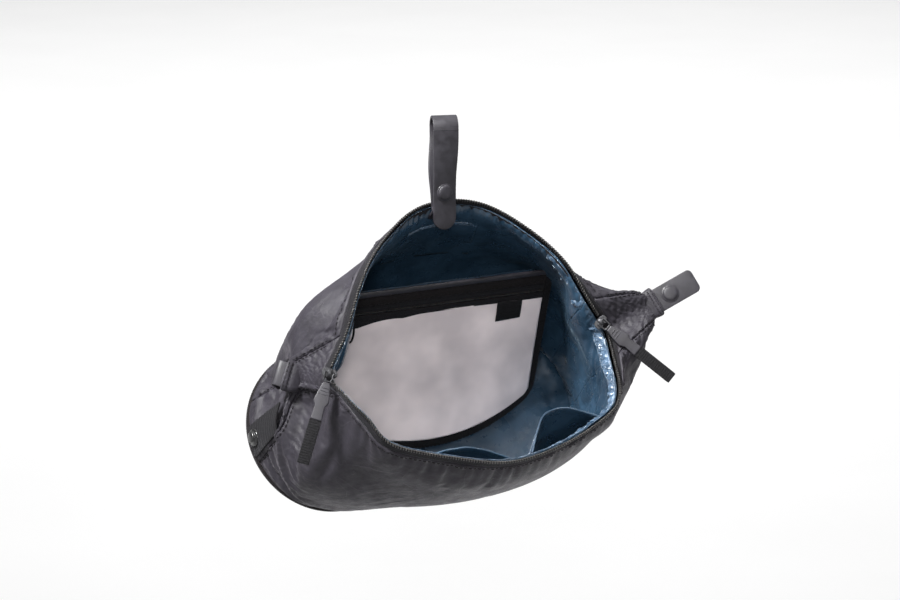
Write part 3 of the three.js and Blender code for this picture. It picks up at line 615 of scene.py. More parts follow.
def area_light(name, place, size, power, spread, aim=(0, 0, -0.16)):
    """A square softbox aimed at a place, its light kept within `spread` degrees."""
    data = bpy.data.lights.new(name, "AREA")
    data.shape, data.size, data.energy = "SQUARE", size, power
    data.spread = math.radians(spread)
    lamp = bpy.data.objects.new(name, data)
    bpy.context.collection.objects.link(lamp)
    lamp.location = place
    lamp.rotation_mode = "QUATERNION"
    lamp.rotation_quaternion = (Vector(aim) - Vector(place)).to_track_quat("-Z", "Y")


def make_world():
    """White studio light that is strongest overhead."""
    world = bpy.data.worlds.new("studio")
    world.use_nodes = True
    nodes, links = world.node_tree.nodes, world.node_tree.links
    where = nodes.new("ShaderNodeTexCoord")
    split = nodes.new("ShaderNodeSeparateXYZ")
    strength = nodes.new("ShaderNodeMapRange")
    strength.inputs["From Min"].default_value = 0.0
    strength.inputs["From Max"].default_value = 1.0
    strength.inputs["To Min"].default_value = 0.08
    strength.inputs["To Max"].default_value = 0.75
    links.new(where.outputs["Generated"], split.inputs["Vector"])
    links.new(split.outputs["Z"], strength.inputs["Value"])
    background = nodes["Background"]
    background.inputs["Color"].default_value = (1, 1, 1, 1)
    links.new(strength.outputs["Result"], background.inputs["Strength"])
    return world


FLOOR_HALF, FLOOR_HEIGHT = 40, -1


def make_stage():
    signs = ((-1, -1), (1, -1), (1, 1), (-1, 1))
    corners = [(x * FLOOR_HALF, y * FLOOR_HALF, FLOOR_HEIGHT) for x, y in signs]
    floor = mesh_object("floor", corners, [(0, 1, 2, 3)])
    look = Look("floor", 0.9, Specular_IOR_Level=0.1)
    look.colour(look.ramp(look.noise(3), 0.965, 0.98))
    floor.data.materials.append(look.material)
    bpy.context.scene.world = make_world()
    sun = bpy.data.lights.new("overhead", "SUN")
    sun.energy, sun.angle = 0.35, math.radians(50)
    lamp = bpy.data.objects.new("overhead", sun)
    bpy.context.collection.objects.link(lamp)
    lamp.rotation_mode = "QUATERNION"
    lamp.rotation_quaternion = Vector((0.4, 0.3, -1)).to_track_quat("-Z", "Y")
    area_light("key", (-1.2, -0.3, 1.4), 0.5, 4.5, 24)
    area_light("fill", (-0.95, -1.8, 0.6), 0.6, 0.6, 24)
    area_light("rim", (1.0, -0.5, 1.5), 0.5, 0.4, 24)
    area_light("backdrop", (2.0, 3.8, 2.6), 7.0, 82, 120, aim=(2.0, 3.8, -1))
    bpy.context.scene.view_settings.view_transform = "Standard"


# ---- the outer shell ----

COLUMNS = 480
TO_SHOULDER, TO_WAIST, TO_BASE = 44, 36, 36
ROUND = np.arange(COLUMNS) * COUNT / COLUMNS


def tape_levels():
    """The level at which the zip tape ends, at each station of the grid."""
    fine = np.linspace(0, 1, 61)
    curve = loft(SHELL_RINGS, ROUND, fine)
    steps = np.linalg.norm(np.diff(curve, axis=0), axis=-1)
    walked = np.concatenate([np.zeros((1, COLUMNS)), np.cumsum(steps, axis=0)])
    return np.array([np.interp(TAPE_WIDTH, walked[:, j], fine) for j in range(COLUMNS)])


TAPE_END = tape_levels()


def shell_grid():
    first = np.linspace(0, 1, TO_SHOULDER + 1)[:, None]
    rest = np.concatenate([np.linspace(1, 2, TO_WAIST + 1)[1:], np.linspace(2, 3, TO_BASE + 1)[1:]])
    levels = np.concatenate([TAPE_END + first * (1 - TAPE_END), np.repeat(rest[:, None], COLUMNS, 1)])
    return loft(SHELL_RINGS, ROUND, levels)


def column(station):
    return int(round(station * COLUMNS / COUNT))


def columns_between(first, last):
    return np.arange(column(first), column(last) + 1) % COLUMNS


def row_at(level, station):
    """The shell grid's row, with its fraction, at a level of a station."""
    start = np.interp(station % COUNT, np.append(ROUND, COUNT), np.append(TAPE_END, TAPE_END[0]))
    if level < 1:
        return max(0.0, (level - start) / (1 - start) * TO_SHOULDER)
    if level < 2:
        return TO_SHOULDER + (level - 1) * TO_WAIST
    return TO_SHOULDER + TO_WAIST + (level - 2) * TO_BASE


def read_grid(grid, row, station):
    """A grid's point at a fractional row and station."""
    row = min(row, grid.shape[0] - 1.001)
    across = (station / COUNT * COLUMNS) % COLUMNS
    j, i = int(row), int(across)
    k = (i + 1) % COLUMNS
    fj, fi = row - j, across - i
    top = grid[j, i] * (1 - fi) + grid[j, k] * fi
    return top * (1 - fj) + (grid[j + 1, i] * (1 - fi) + grid[j + 1, k] * fi) * fj


def path_on(grid, facing, places, lift=0.0, per_span=12):
    """A path over the shell through (station, level) places, and the surface's directions."""
    places = smooth_path([(s, l, 0) for s, l in places], per_span)
    points, outward = [], []
    for station, level, _ in places:
        row = row_at(level, station)
        direction = read_grid(facing, row, station)
        points.append(read_grid(grid, row, station) + lift * direction)
        outward.append(direction)
    return np.array(points), unit(np.array(outward))


# Folds of the shell as (places, height, width): a line through (station, level) places, its
# height in mm (below 0 for a valley) and half its width in stations.
FOLDS = [
    ([(14.1, 0.5), (14.2, 1.1), (14.15, 1.7), (13.9, 2.3)], 3.6, 0.16),
    ([(13.85, 0.35), (13.72, 1.0), (13.6, 1.8), (13.3, 2.5)], -3.4, 0.26),
    ([(13.3, 0.5), (13.1, 1.2), (13.0, 1.9), (12.8, 2.6)], 3.2, 0.32),
    ([(14.0, 2.05), (13.5, 2.35), (12.9, 2.6), (12.2, 2.72)], 3.2, 0.1),
    ([(14.3, 2.3), (13.8, 2.55), (13.2, 2.78), (12.6, 2.86)], 2.8, 0.08),
    ([(12.4, 0.6), (12.0, 1.3), (11.3, 2.0)], -2.5, 0.45),
    ([(11.6, 0.5), (10.8, 0.9), (9.8, 1.0)], 2.2, 0.35),
    ([(15.0, 1.1), (15.2, 1.7), (15.1, 2.3)], 2.2, 0.12),
    ([(15.0, 1.1), (14.7, 1.8), (14.6, 2.5)], 2.0, 0.12),
    ([(16.4, 0.7), (17.0, 1.2), (17.3, 2.0)], -2.4, 0.3),
    ([(18.0, 0.5), (17.4, 1.0), (17.0, 1.6)], 2.0, 0.3),
    ([(5.0, 1.1), (5.3, 1.6), (5.8, 2.2)], -2.0, 0.2),
    ([(6.2, 1.0), (6.8, 1.5), (7.3, 2.2)], 2.2, 0.25),
    ([(3.6, 0.7), (3.2, 1.3), (3.0, 2.0)], -2.4, 0.35),
    ([(1.6, 0.8), (1.2, 1.5), (1.4, 2.4)], 2.0, 0.4),
    ([(8.6, 0.7), (8.2, 1.4), (7.6, 2.3)], -2.2, 0.35),
]


FOLD_SCALE = 1.35


def fold_height(places, height, width):
    """How far one fold raises each point of the shell grid."""
    line = smooth_path([(s, l, 0) for s, l in places], 6)[:, :2]
    rows = np.arange(1 + TO_SHOULDER + TO_WAIST + TO_BASE)
    levels = np.interp(rows, [0, TO_SHOULDER, TO_SHOULDER + TO_WAIST, rows[-1]], [0.2, 1, 2, 3])
    station = ROUND[None, :, None]
    apart = (station - line[:, 0] + COUNT / 2) % COUNT - COUNT / 2
    far = np.sqrt(apart**2 + (levels[:, None, None] - line[:, 1]) ** 2)
    nearest = far.argmin(axis=-1)
    share = nearest / (len(line) - 1)
    fade = np.sin(math.pi * (0.1 + 0.8 * share)) ** 0.7
    return height * fade / (1 + (far.min(axis=-1) / width) ** 2) ** 1.5


def settle(name, grid, held, spare, bending, most, seed, frames=14):
    """Lets a closed grid of cloth, cut `spare` larger than its shape, buckle and hang between
    its held points, and gives each point's move in mm, none longer than `most`."""
    coarse = grid[::2, ::2].copy()
    facing = normals(coarse, closed=True)
    coarse += facing * wander(coarse, 26, 1.2, seed)[..., None]
    rows, columns = coarse.shape[:2]
    start = bag_to_row(coarse).reshape(-1, 3)
    cloth = mesh_object(name, start, grid_faces(rows, columns, closed=True))
    group = cloth.vertex_groups.new(name="held")
    for k, weight in enumerate(held[::2, ::2].reshape(-1)):
        group.add([k], float(weight), "REPLACE")
    made = cloth.modifiers.new("cloth", "CLOTH")
    stiffness = {"tension_stiffness": 12, "compression_stiffness": 8, "shear_stiffness": 4}
    cloth_settings = {**stiffness, "bending_stiffness": bending, "quality": 5, "mass": 0.2,
                      "shrink_min": -spare, "vertex_group_mass": "held", "pin_stiffness": 1.0}
    for key, value in cloth_settings.items():
        setattr(made.settings, key, value)
    made.settings.effector_weights.gravity = 0.4
    made.point_cache.frame_start, made.point_cache.frame_end = 1, frames
    for frame_number in range(1, frames + 1):
        bpy.context.scene.frame_set(frame_number)
    seen = cloth.evaluated_get(bpy.context.evaluated_depsgraph_get())
    end = np.empty(len(start) * 3)
    seen.data.vertices.foreach_get("co", end)
    rest = bag_to_row(grid[::2, ::2]).reshape(-1, 3)
    moved = (end.reshape(-1, 3) - rest) / MM
    bpy.data.objects.remove(cloth)
    bpy.context.scene.frame_set(1)
    c, s = math.cos(BAG_TILT), math.sin(BAG_TILT)
    moved = moved @ np.array([[1, 0, 0], [0, c, s], [0, -s, c]])
    size = np.linalg.norm(moved, axis=-1, keepdims=True)
    moved *= most * np.tanh(size / most) / np.maximum(size, 1e-9)
    moved = moved.reshape(rows, columns, 3)
    at_rows = np.arange(grid.shape[0]) / 2
    at_columns = np.arange(grid.shape[1]) / 2
    return catmull(catmull(moved, at_rows).swapaxes(0, 1), at_columns, closed=True).swapaxes(0, 1)


def near_columns(stations, half_width):
    """1 at given stations falling to 0 within half_width, over the grid's columns."""
    near = np.zeros(COLUMNS)
    for station in stations:
        apart = np.abs((ROUND - station + COUNT / 2) % COUNT - COUNT / 2)
        near = np.maximum(near, np.clip(1 - apart / half_width, 0, 1))
    return near


SEAM_STATIONS = [RIGHT_EAR - 1, RIGHT_EAR + 1, LEFT_EAR - 1, LEFT_EAR + 1]


def shaped_shell():
    """The shell's grid with its folds, its seams drawn in and its cloth settled."""
    grid = shell_grid()
    facing = normals(grid, closed=True)
    rows = grid.shape[0]
    free = np.sin(math.pi * np.clip(np.arange(rows) / (rows - 1), 0, 1)) ** 0.5
    rise = FOLD_SCALE * sum(fold_height(*fold) for fold in FOLDS) * free[:, None]
    grid = grid + facing * rise[..., None]
    held = np.full((rows, COLUMNS), 0.02)
    held = np.maximum(held, 0.9 * near_columns(SEAM_STATIONS, 0.12)[None, :])
    held[:3] = 1
    held[-3:] = 1
    ears = near_columns([RIGHT_EAR, LEFT_EAR], 1.2) > 0
    held[:TO_SHOULDER + 2, ears] = np.maximum(held[:TO_SHOULDER + 2, ears], 0.5)
    grid = grid + settle("shell_sim", grid, held, 0.05, 0.3, 4.5, 3)
    facing = normals(grid, closed=True)
    drawn = -0.9 * near_columns(SEAM_STATIONS, 0.05)[None, :].repeat(rows, 0)
    edge = np.array([-0.5, 0.35, 0.7, 0.75, 0.6, 0.35, 0.1] + [0.0] * (rows - 7))
    return grid + facing * (drawn + edge[:, None])[..., None]


SHELL = shaped_shell()
SHELL_FACING = normals(SHELL, closed=True)


def make_shell():
    right, left = RIGHT_EAR, LEFT_EAR
    panels = {
        "front_panel": (right + 1, left - 1, slice(0, None)),
        "back_panel": (left + 1, COUNT + right - 1, slice(0, None)),
        "right_end_panel": (right - 1, right + 1, slice(TO_SHOULDER, None)),
        "left_end_panel": (left - 1, left + 1, slice(TO_SHOULDER, None)),
        "right_ear_patch": (right - 1, right + 1, slice(0, TO_SHOULDER + 1)),
        "left_ear_patch": (left - 1, left + 1, slice(0, TO_SHOULDER + 1)),
    }
    for node, (first, last, rows) in panels.items():
        grid = SHELL[rows][:, columns_between(first, last)]
        piece = dress(sheet_piece(node + "_cloth", grid, 1.1), "shell_fabric", replaces=[node])
        declare(grid)


def make_shell_stitching():
    """Top-stitching beside the zip, along the ear seams, across the ears and down the seams of the ends."""
    parts = []
    for first, last in ((6.1, 13.9), (16.1, 23.9)):
        beside = []
        for station in np.linspace(first, last, 90):
            start = np.interp(station % COUNT, np.append(ROUND, COUNT), np.append(TAPE_END, TAPE_END[0]))
            beside.append((station, start + 0.09))
        parts.append(stitches(*path_on(SHELL, SHELL_FACING, beside, 0.1, 4)))
    for station in (RIGHT_EAR - 1, RIGHT_EAR + 1, LEFT_EAR - 1, LEFT_EAR + 1):
        for aside in (-0.07, 0.07):
            places = [(station + aside, level) for level in np.linspace(0.3, 1.0, 10)]
            parts.append(stitches(*path_on(SHELL, SHELL_FACING, places, 0.1)))
        outside = math.copysign(0.06, station - (RIGHT_EAR if station < 10 else LEFT_EAR))
        places = [(station + outside, level) for level in np.linspace(1.05, 2.9, 20)]
        parts.append(stitches(*path_on(SHELL, SHELL_FACING, places, 0.1)))
    for ear in (RIGHT_EAR, LEFT_EAR):
        for level in (0.93, 1.05):
            places = [(station, level) for station in np.linspace(ear - 0.95, ear + 0.95, 12)]
            parts.append(stitches(*path_on(SHELL, SHELL_FACING, places, 0.1)))
    make("shell_stitching", joined(parts), "thread")


# ---- the lining ----

LINING_INSET, EAR_GAP = 5.0, 11.0


def from_ear(i):
    return min(abs(i - RIGHT_EAR), abs(i - LEFT_EAR))


def lining_shoulder(i):
    mouth, shoulder, waist, _ = STATIONS[i]
    if from_ear(i) > 1:
        return shoulder
    return tuple(m + 0.42 * (w - m) for m, w in zip(mouth, waist))


def inset(ring, distance):
    out = []
    for i, (x, z, depth) in enumerate(ring):
        before, after = ring[i - 1], ring[(i + 1) % len(ring)]
        along = unit([after[0] - before[0], after[1] - before[1]])
        out.append((x + along[1] * distance(i), z - along[0] * distance(i), depth))
    return out


def ear_inset(i):
    return EAR_GAP if from_ear(i) <= 2 else LINING_INSET


LINING_RINGS = [
    inset([(x, z, d + 1.2) for (x, z, d), *_ in STATIONS], lambda i: 1.6),
    inset([lining_shoulder(i) for i in range(COUNT)], ear_inset),
    inset([s[2] for s in STATIONS], lambda i: ear_inset(i) - 2),
    base_ring(BASE_RADIUS - 2 - LINING_INSET, BAG_DEPTH - 0.6),
]
LINING_ROWS = 121


def lining_point(station, level, inwards):
    """A point inside the lining's smooth surface, for what is sewn on to it."""
    stations = np.array([station - 0.05, station, station + 0.05])
    patch = loft(LINING_RINGS, stations % COUNT, np.array([level - 0.02, level, level + 0.02]))
    du = patch[1, 2] - patch[1, 0]
    dv = patch[2, 1] - patch[0, 1]
    return patch[1, 1] - inwards * unit(np.cross(du, dv))


def shaped_lining():
    grid = loft(LINING_RINGS, ROUND, np.linspace(0, 3, LINING_ROWS))
    facing = normals(grid, closed=True)
    down = np.arange(LINING_ROWS)
    free = np.clip(down / 12, 0, 1) * np.clip((LINING_ROWS - 1 - down) / 8, 0, 1)
    held = np.full(grid.shape[:2], 0.03)
    held[:2] = 1
    held[-2:] = 1
    grid = grid + settle("lining_sim", grid, held, 0.06, 0.12, 4.0, 8)
    soft = wander(grid, 22, 1.0, 5) + 0.6 * wander(grid, 9, 1.0, 6)
    return grid - facing * (0.4 + (1 + np.tanh(soft)) * free[:, None])[..., None]


LINING = shaped_lining()


def make_lining():
    right, left = RIGHT_EAR, LEFT_EAR
    panels = {
        "lining_front": (right + 1, left - 1),
        "lining_back": (left + 1, COUNT + right - 1),
        "lining_right": (right - 1, right + 1),
        "lining_left": (left - 1, left + 1),
    }
    for node, (first, last) in panels.items():
        grid = LINING[:, columns_between(first, last)]
        piece = dress(sheet_piece(node + "_cloth", grid, 0.4), "lining_fabric", replaces=[node])
        declare(grid)
    make_facing()
    make_lining_base()


def make_facing():
    """The puckered strip of lining along the mouth: wide on the right, narrow elsewhere."""
    stations = np.linspace(0, COUNT, 961)[:-1]
    width = np.interp(stations, [0, 1.5, 3, 8, 9.5, 12, 20], [0.07, 0.12, 0.62, 0.5, 0.2, 0.14, 0.07])
    levels = np.linspace(0.01, 1, 21)[:, None] * width
    grid = loft(LINING_RINGS, stations, levels)
    facing = normals(grid, closed=True)
    across = np.sin(np.linspace(0, math.pi, 21))[:, None] * (width / 0.4)
    puckers = np.abs(wander(grid, 7, 1.0, 11)) + 0.5 * np.abs(wander(grid, 3.2, 1.0, 12))
    grid = grid - facing * (0.9 + across * (0.8 + 3.0 * puckers))[..., None]
    for side, first, last in (("right", 1.25, 9.5), ("left", 9.5, COUNT + 1.25)):
        strip = grid[:, np.arange(int(first * 48), int(last * 48) + 1) % 960]
        piece = dress(sheet_piece("lining_facing_" + side, strip, 0.4), "lining_facing")
        if side == "right":
            declare(strip)
    seam = np.concatenate([grid[-1], grid[-1][:1]])
    make("lining_facing_stitching", stitches(seam, -facing[-1], 2.2, 1.2, 0.25), "lining_facing")
    make_inner_tape()


def make_inner_tape():
    """The inner side of the zip tape along the back of the mouth, with its piped edge."""
    stations = np.linspace(LEFT_EAR + 1.0, COUNT + 3.2, 400)
    width = 0.26 * np.clip(np.minimum(stations - stations[0], stations[-1] - stations) / 1.2, 0.1, 1)
    levels = np.linspace(0.0, 1, 8)[:, None] * width
    grid = loft(LINING_RINGS, stations % COUNT, levels)
    facing = normals(grid)
    grid = grid - facing * np.linspace(1.2, 2.4, 8)[:, None, None]
    dress(sheet_piece("zip_tape_inner", grid, 0.6), "zip_tape")
    edge = grid[-1] + wander(grid[-1], 6, 0.5, 14)[:, None] * facing[-1]
    make("zip_tape_piping", sweep(edge, circle_section(0.7, 8), facing[-1]), "lining_facing")


def stadium_path(radius, depth, count):
    """Points round the base's outline: two half circles joined by straight sides."""
    cx, cz = BASE_CENTRE
    half = BASE_HALF_STRAIGHT
    arc = math.pi * radius
    out = []
    for d in np.arange(count) * 2 * (arc + 2 * half) / count:
        side = 1 if d < arc + 2 * half else -1
        along = d if side > 0 else d - arc - 2 * half
        turn = min(along, arc) / radius - math.pi / 2
        run = half - max(0, along - arc)
        x = run + radius * math.cos(turn) if along < arc else run
        out.append((cx + side * x, depth, cz + side * radius * math.sin(turn)))
    return np.array(out)


def stadium_grid(radius, depth, rings, count):
    """Rings from the outline to a line along the middle of the base."""
    outline = stadium_path(radius, depth, count)
    middle = outline.copy()
    middle[:, 2] = BASE_CENTRE[1]
    reach = np.array([-BASE_HALF_STRAIGHT, BASE_HALF_STRAIGHT]) + BASE_CENTRE[0]
    middle[:, 0] = np.clip(outline[:, 0], *reach)
    shares = np.linspace(0, 0.98, rings)[:, None, None]
    return outline[None] * (1 - shares) + middle[None] * shares


def slab(grid, thickness):
    """A closed plate over rings of a grid: its face, its edge and its back."""
    rings = np.concatenate([grid[::-1], grid - [0, thickness, 0]])
    return rings.reshape(-1, 3), tube_faces(*rings.shape[:2])


def make_lining_base():
    grid = stadium_grid(BASE_RADIUS - 0.8 - LINING_INSET, BAG_DEPTH - 0.6, 24, 240)
    grid[..., 1] -= np.abs(wander(grid, 24, 2.2, 21)) + np.abs(wander(grid, 8, 0.8, 22))
    floor = make("lining_base_cloth", slab(grid, 0.4), "lining_fabric", replaces=["lining_base"])
    radius = BASE_RADIUS - 0.8 - LINING_INSET
    declare(grid, flat=(2 * (BASE_HALF_STRAIGHT + radius), 2 * radius))


# ---- the base ----

def side_of(path):
    """The outward direction of a closed path that lies flat in the bag's x-z plane."""
    return np.cross(unit(np.roll(path, -1, 0) - np.roll(path, 1, 0)), [0, 1, 0])


def make_base():
    height, depth = 5.8, BAG_DEPTH + 0.3
    path = stadium_path(BASE_RADIUS - 1.75, depth + height / 2, 2100)
    ribs = 0.09 * np.cos(np.arange(len(path)) * 2 * math.pi / 5)
    sections = np.array([rounded_section(3.5 + r, height + r, 1.5, 4) for r in ribs])
    tape = sweep(path, sections, side_of(path), closed=True)
    make("base_binding_tape", tape, "binding_tape", replaces=["base_binding"])
    seam = stadium_path(BASE_RADIUS + 0.02, depth + 1.2, 900)
    make("base_binding_stitching", stitches(seam, side_of(seam)), "thread")
    grid = stadium_grid(BASE_RADIUS - 3.9, depth + height, 30, 300)
    crown = 1 - np.linspace(1, 0, 30)[:, None] ** 3
    grid[..., 1] += 0.3 * crown + wander(grid, 30, 0.4, 31) * crown
    make("base_panel_cloth", slab(grid, 2.4), "shell_fabric", replaces=["base_panel"])


# ---- the main zip ----

COIL_RADIUS = 1.2


def make_zip():
    levels = np.linspace(0, 1, 7)[:, None] * TAPE_END
    tape = loft(SHELL_RINGS, ROUND, levels)
    halves = (("front", RIGHT_SLIDER, LEFT_SLIDER), ("back", LEFT_SLIDER, COUNT + RIGHT_SLIDER))
    for side, start, end in halves:
        first, last = start + 0.1, end - 0.1
        half = sheet_piece("zip_tape_" + side, tape[:, columns_between(first, last)], 0.8)
        dress(half, "zip_tape", replaces=["zipper_tape_" + side])
        stations = np.linspace(first + 0.1, last - 0.1, 700)
        rim = catmull(depth_order(SHELL_RINGS[0]), stations, closed=True)
        rim[:, 1] -= COIL_RADIUS + 0.3
        coil = helix(rim, [0, 1, 0], COIL_RADIUS - 0.15, 0.48, 2.2)
        core = sweep(rim, circle_section(0.8, 8), [0, 1, 0])
        make("zip_core_" + side, core, "zip_tape")
        make("zip_coil_" + side, coil, "zip_coil", replaces=["zipper_coil_" + side])


# ---- sliders and their pullers ----

def plate(outline, z0, z1, bevel):
    """A plate over a closed outline in x-y, with bevelled edges."""
    outline = np.asarray(outline, float)
    middle = outline.mean(0)
    size = np.linalg.norm(outline - middle, axis=1).mean()
    rings = []
    for inset_by, z in ((bevel, z0), (bevel * 0.3, z0 + bevel * 0.3), (0, z0 + bevel),
                        (0, z1 - bevel), (bevel * 0.3, z1 - bevel * 0.3), (bevel, z1)):
        flat = middle + (outline - middle) * (1 - inset_by / size)
        rings.append(np.column_stack([flat, np.full(len(flat), z)]))
    return np.concatenate(rings), tube_faces(len(rings), len(outline))


def slider_outline(scale=1.0):
    """A waisted oval: wide where the two halves of the zip come in, narrow where they leave."""
    points = []
    for k in range(48):
        turn = 2 * math.pi * k / 48
        x = 6.0 * math.cos(turn)
        waist = 0.7 if abs(math.cos(turn)) < 0.7 else 0.28
        half = 4.3 + 0.5 * math.cos(turn) + waist * math.cos(2 * turn)
        points.append((x * scale, half * math.sin(turn) * scale))
    return points


def slider_shape(z0, z1, bridge_top, scale=1.0):
    gap = (z1 - z0) * 0.28
    parts = [
        plate(slider_outline(scale), z0, z0 + gap, 0.3 * scale),
        plate(slider_outline(0.5 * scale), z0 + gap * 0.5, z1 - gap * 0.5, 0.2 * scale),
        plate(slider_outline(scale), z1 - gap, z1, 0.3 * scale),
    ]
    turns = np.linspace(0, math.pi, 17)
    rise = z1 - 0.4 + (bridge_top - z1) * np.sin(turns) ** 0.6
    arch = np.stack([0 * turns, -3.2 * scale * np.cos(turns), rise], -1)
    parts.append(sweep(arch, rounded_section(2.6 * scale, 0.9 * scale, 0.3 * scale), [1, 0, 0]))
    return joined(parts)


def grip_shape(start):
    """The moulded grip: it swells to two blunt shoulders, then narrows to a neck."""
    stops = [0, 2, 7, 13, 15.5, 18.5, 20, 30]
    halves = [2.6, 3.3, 4.6, 5.7, 5.9, 4.3, 4.0, 4.5]
    at = np.linspace(0, 30, 61)
    sections = []
    for d in at:
        half = np.interp(d, stops, halves)
        thick = 2.6 + 0.6 * math.sin(math.pi * min(d / 30, 1))
        sections.append(rounded_section(2 * half, thick * (0.6 if d in (at[0], at[-1]) else 1), 0.75, 4))
    path = np.stack([0 * at, at + start, 0 * at], -1)
    body = sweep(path, np.array(sections), [1, 0, 0])
    ridges = []
    for d in (4.5, 7.0, 9.5):
        half = np.interp(d, stops, halves) - 1.2
        ridge = np.array([(-half, d + start, 1.35), (0, d + start, 1.6), (half, d + start, 1.35)])
        ridges.append(sweep(smooth_path(ridge, 4), rounded_section(0.9, 0.7, 0.3, 2), [0, 1, 0]))
    return joined([body, *ridges])


def bail_shape():
    corners = [(3.4, 0.6), (3.6, 0.1), (3.2, -0.25), (0, -0.25), (-3.2, -0.25), (-3.6, 0.1), (-3.4, 0.6),
               (-2.9, 6.4), (-2.4, 7.0), (0, 7.1), (2.4, 7.0), (2.9, 6.4)]
    path = catmull(np.array([(x, y, 0) for x, y in corners]), np.linspace(0, 12, 97)[:-1], closed=True)
    return sweep(path, circle_section(0.7, 8), [0, 0, 1], closed=True)


def puller_webbing(start):
    """The ribbed webbing tail, a little narrower at its heat-cut end."""
    width, length, period, depth, rib_thickness = 9.6, 35, 2.0, 0.55, 1.9
    at = np.arange(0, length + 1e-6, period / 5)
    sections = []
    for d in at:
        swell = depth * (0.5 + 0.5 * math.cos(2 * math.pi * d / period))
        narrow = 0.8 * max(0.0, 1 - (length - d) / 1.5)
        sections.append(rounded_section(width - narrow, rib_thickness - depth + swell, 0.45))
    path = np.stack([0 * at, at + start, 0.25 * np.sin(at / 9)], -1)
    return sweep(path, np.array(sections), [1, 0, 0])


TOWARDS_PERSON = (-0.45, -0.87, -0.21)


def make_zip_end(side, station, hangs):
    rim = catmull(depth_order(SHELL_RINGS[0]), np.array([station]), closed=True)[0]
    along = unit(hangs)
    width_axis = unit(np.cross(along, TOWARDS_PERSON))
    face = np.cross(width_axis, along)
    place = local_frame(rim + face * 8.4, width_axis, along)
    body = side + "_puller"
    slider = slider_shape(-6.4, -1.2, 2.3)
    make(side + "_zip_slider", slider, "slider_metal", replaces=[side + "_slider"], to_row=place)
    shapes = (("bail", bail_shape(), "slider_metal"), ("grip", grip_shape(8.1), "rubber_strap"),
              ("webbing", puller_webbing(38.3), "black_webbing"))
    for part, shape, look in shapes:
        make(body + "_" + part, shape, look, body, [side + "_pull_" + part], place)


# ---- the ears' keepers and tab straps ----

def flat_ring(half_width, low, high, steps=32):
    """A flattened oval across a tab: y from side to side, z from low to high."""
    ring = []
    for k in range(steps):
        turn = 2 * math.pi * k / steps
        y = half_width * math.copysign(abs(math.cos(turn)) ** 0.45, math.cos(turn))
        z = (high - low) / 2 * math.copysign(abs(math.sin(turn)) ** 0.7, math.sin(turn))
        ring.append((y, z + (high + low) / 2))
    return np.array(ring)


def keeper_shape(rings):
    """The hemmed end of the ear: a flat sleeve of shell cloth with the strap coming out of it.
    rings are (x, half width, low, high), outside from the ear and back inside the slot; the
    under side of the sleeve is cut back so that the strap can fold down."""
    verts, faces = [], []
    steps = 32
    for x, half, low, high in rings:
        ring = flat_ring(half, low, high, steps)
        lift = (ring[:, 1] - low) / (high - low)
        across = x * (1 - 0.75 * (1 - lift) * (x > 0))
        verts.append(np.column_stack([across, ring]))
    faces = grid_faces(len(rings), steps, closed=True)
    return np.concatenate(verts), faces


KEEPER_RINGS = [
    (-9, 9.5, -3.5, 2.0), (-5, 11.5, -3.4, 4.2), (-1.2, 12.2, -3.0, 5.4), (-0.6, 12.3, -3.0, 5.1),
    (0.2, 12.4, -3.0, 5.8), (3.6, 12.6, -2.9, 6.2), (4.8, 12.6, -2.8, 6.1), (5.2, 12.2, -2.3, 5.6),
    (4.9, 11.6, -1.8, 5.0), (3.5, 11.2, -1.6, 4.4), (0.5, 11.0, -1.4, 3.4),
]


def keeper_stitches():
    parts = []
    for x in (0.8, 3.4):
        path = smooth_path([(x, -10, 5.8), (x, -5, 6.15), (x, 5, 6.15), (x, 10, 5.8)])
        parts.append(stitches(path, [0, 0, 1], 2.0, 1.0, 0.28))
    return joined(parts)


def strap_stops(length, half, corner, steps=8):
    """Distances along a strap, and its half widths there, with rounded far corners."""
    straight = list(np.linspace(0, length - corner, 40))
    widths = [half] * len(straight)
    for k in range(1, steps + 1):
        turn = math.pi / 2 * k / steps
        straight.append(length - corner + corner * math.sin(turn))
        widths.append(max(half - corner + corner * math.cos(turn), 0.4))
    return np.array(straight), np.array(widths)


def strap_shape(path, half, corner, thickness, side):
    """A moulded strap with rounded edges along a smooth path."""
    path = smooth_path(path, 24)
    walked = np.concatenate([[0], np.cumsum(np.linalg.norm(np.diff(path, axis=0), axis=1))])
    stops, widths = strap_stops(walked[-1], half, corner)
    points = np.stack([np.interp(stops, walked, path[:, k]) for k in range(3)], -1)
    sections = [rounded_section(2 * w, thickness, min(0.6, w * 0.9), 3) for w in widths]
    return sweep(points, np.array(sections), side)


def cap_shape():
    """A moulded snap cap: a rim, a groove and a low dome."""
    profile = [(7.2, 0), (7.2, 0.5), (6.9, 0.85), (6.3, 0.8), (6.05, 0.95)]
    for k in range(9):
        turn = math.pi / 2 * k / 8
        profile.append((5.9 * math.cos(turn) ** 0.6 + 0.02, 1.1 + 1.3 * math.sin(turn)))
    return lathe(profile)


def socket_shape(radius, height):
    profile = [(1, 0), (1, 0.6), (0.92, 1), (0.62, 1), (0.55, 0.7), (0.4, 0.6), (0.38, 0.2)]
    return lathe([(radius * r, height * h) for r, h in profile])


TAB_HALF, TAB_CORNER, TAB_CAP_PLACE = 10, 4, 17.0
HALF_STRAP = STRAP_THICKNESS / 2


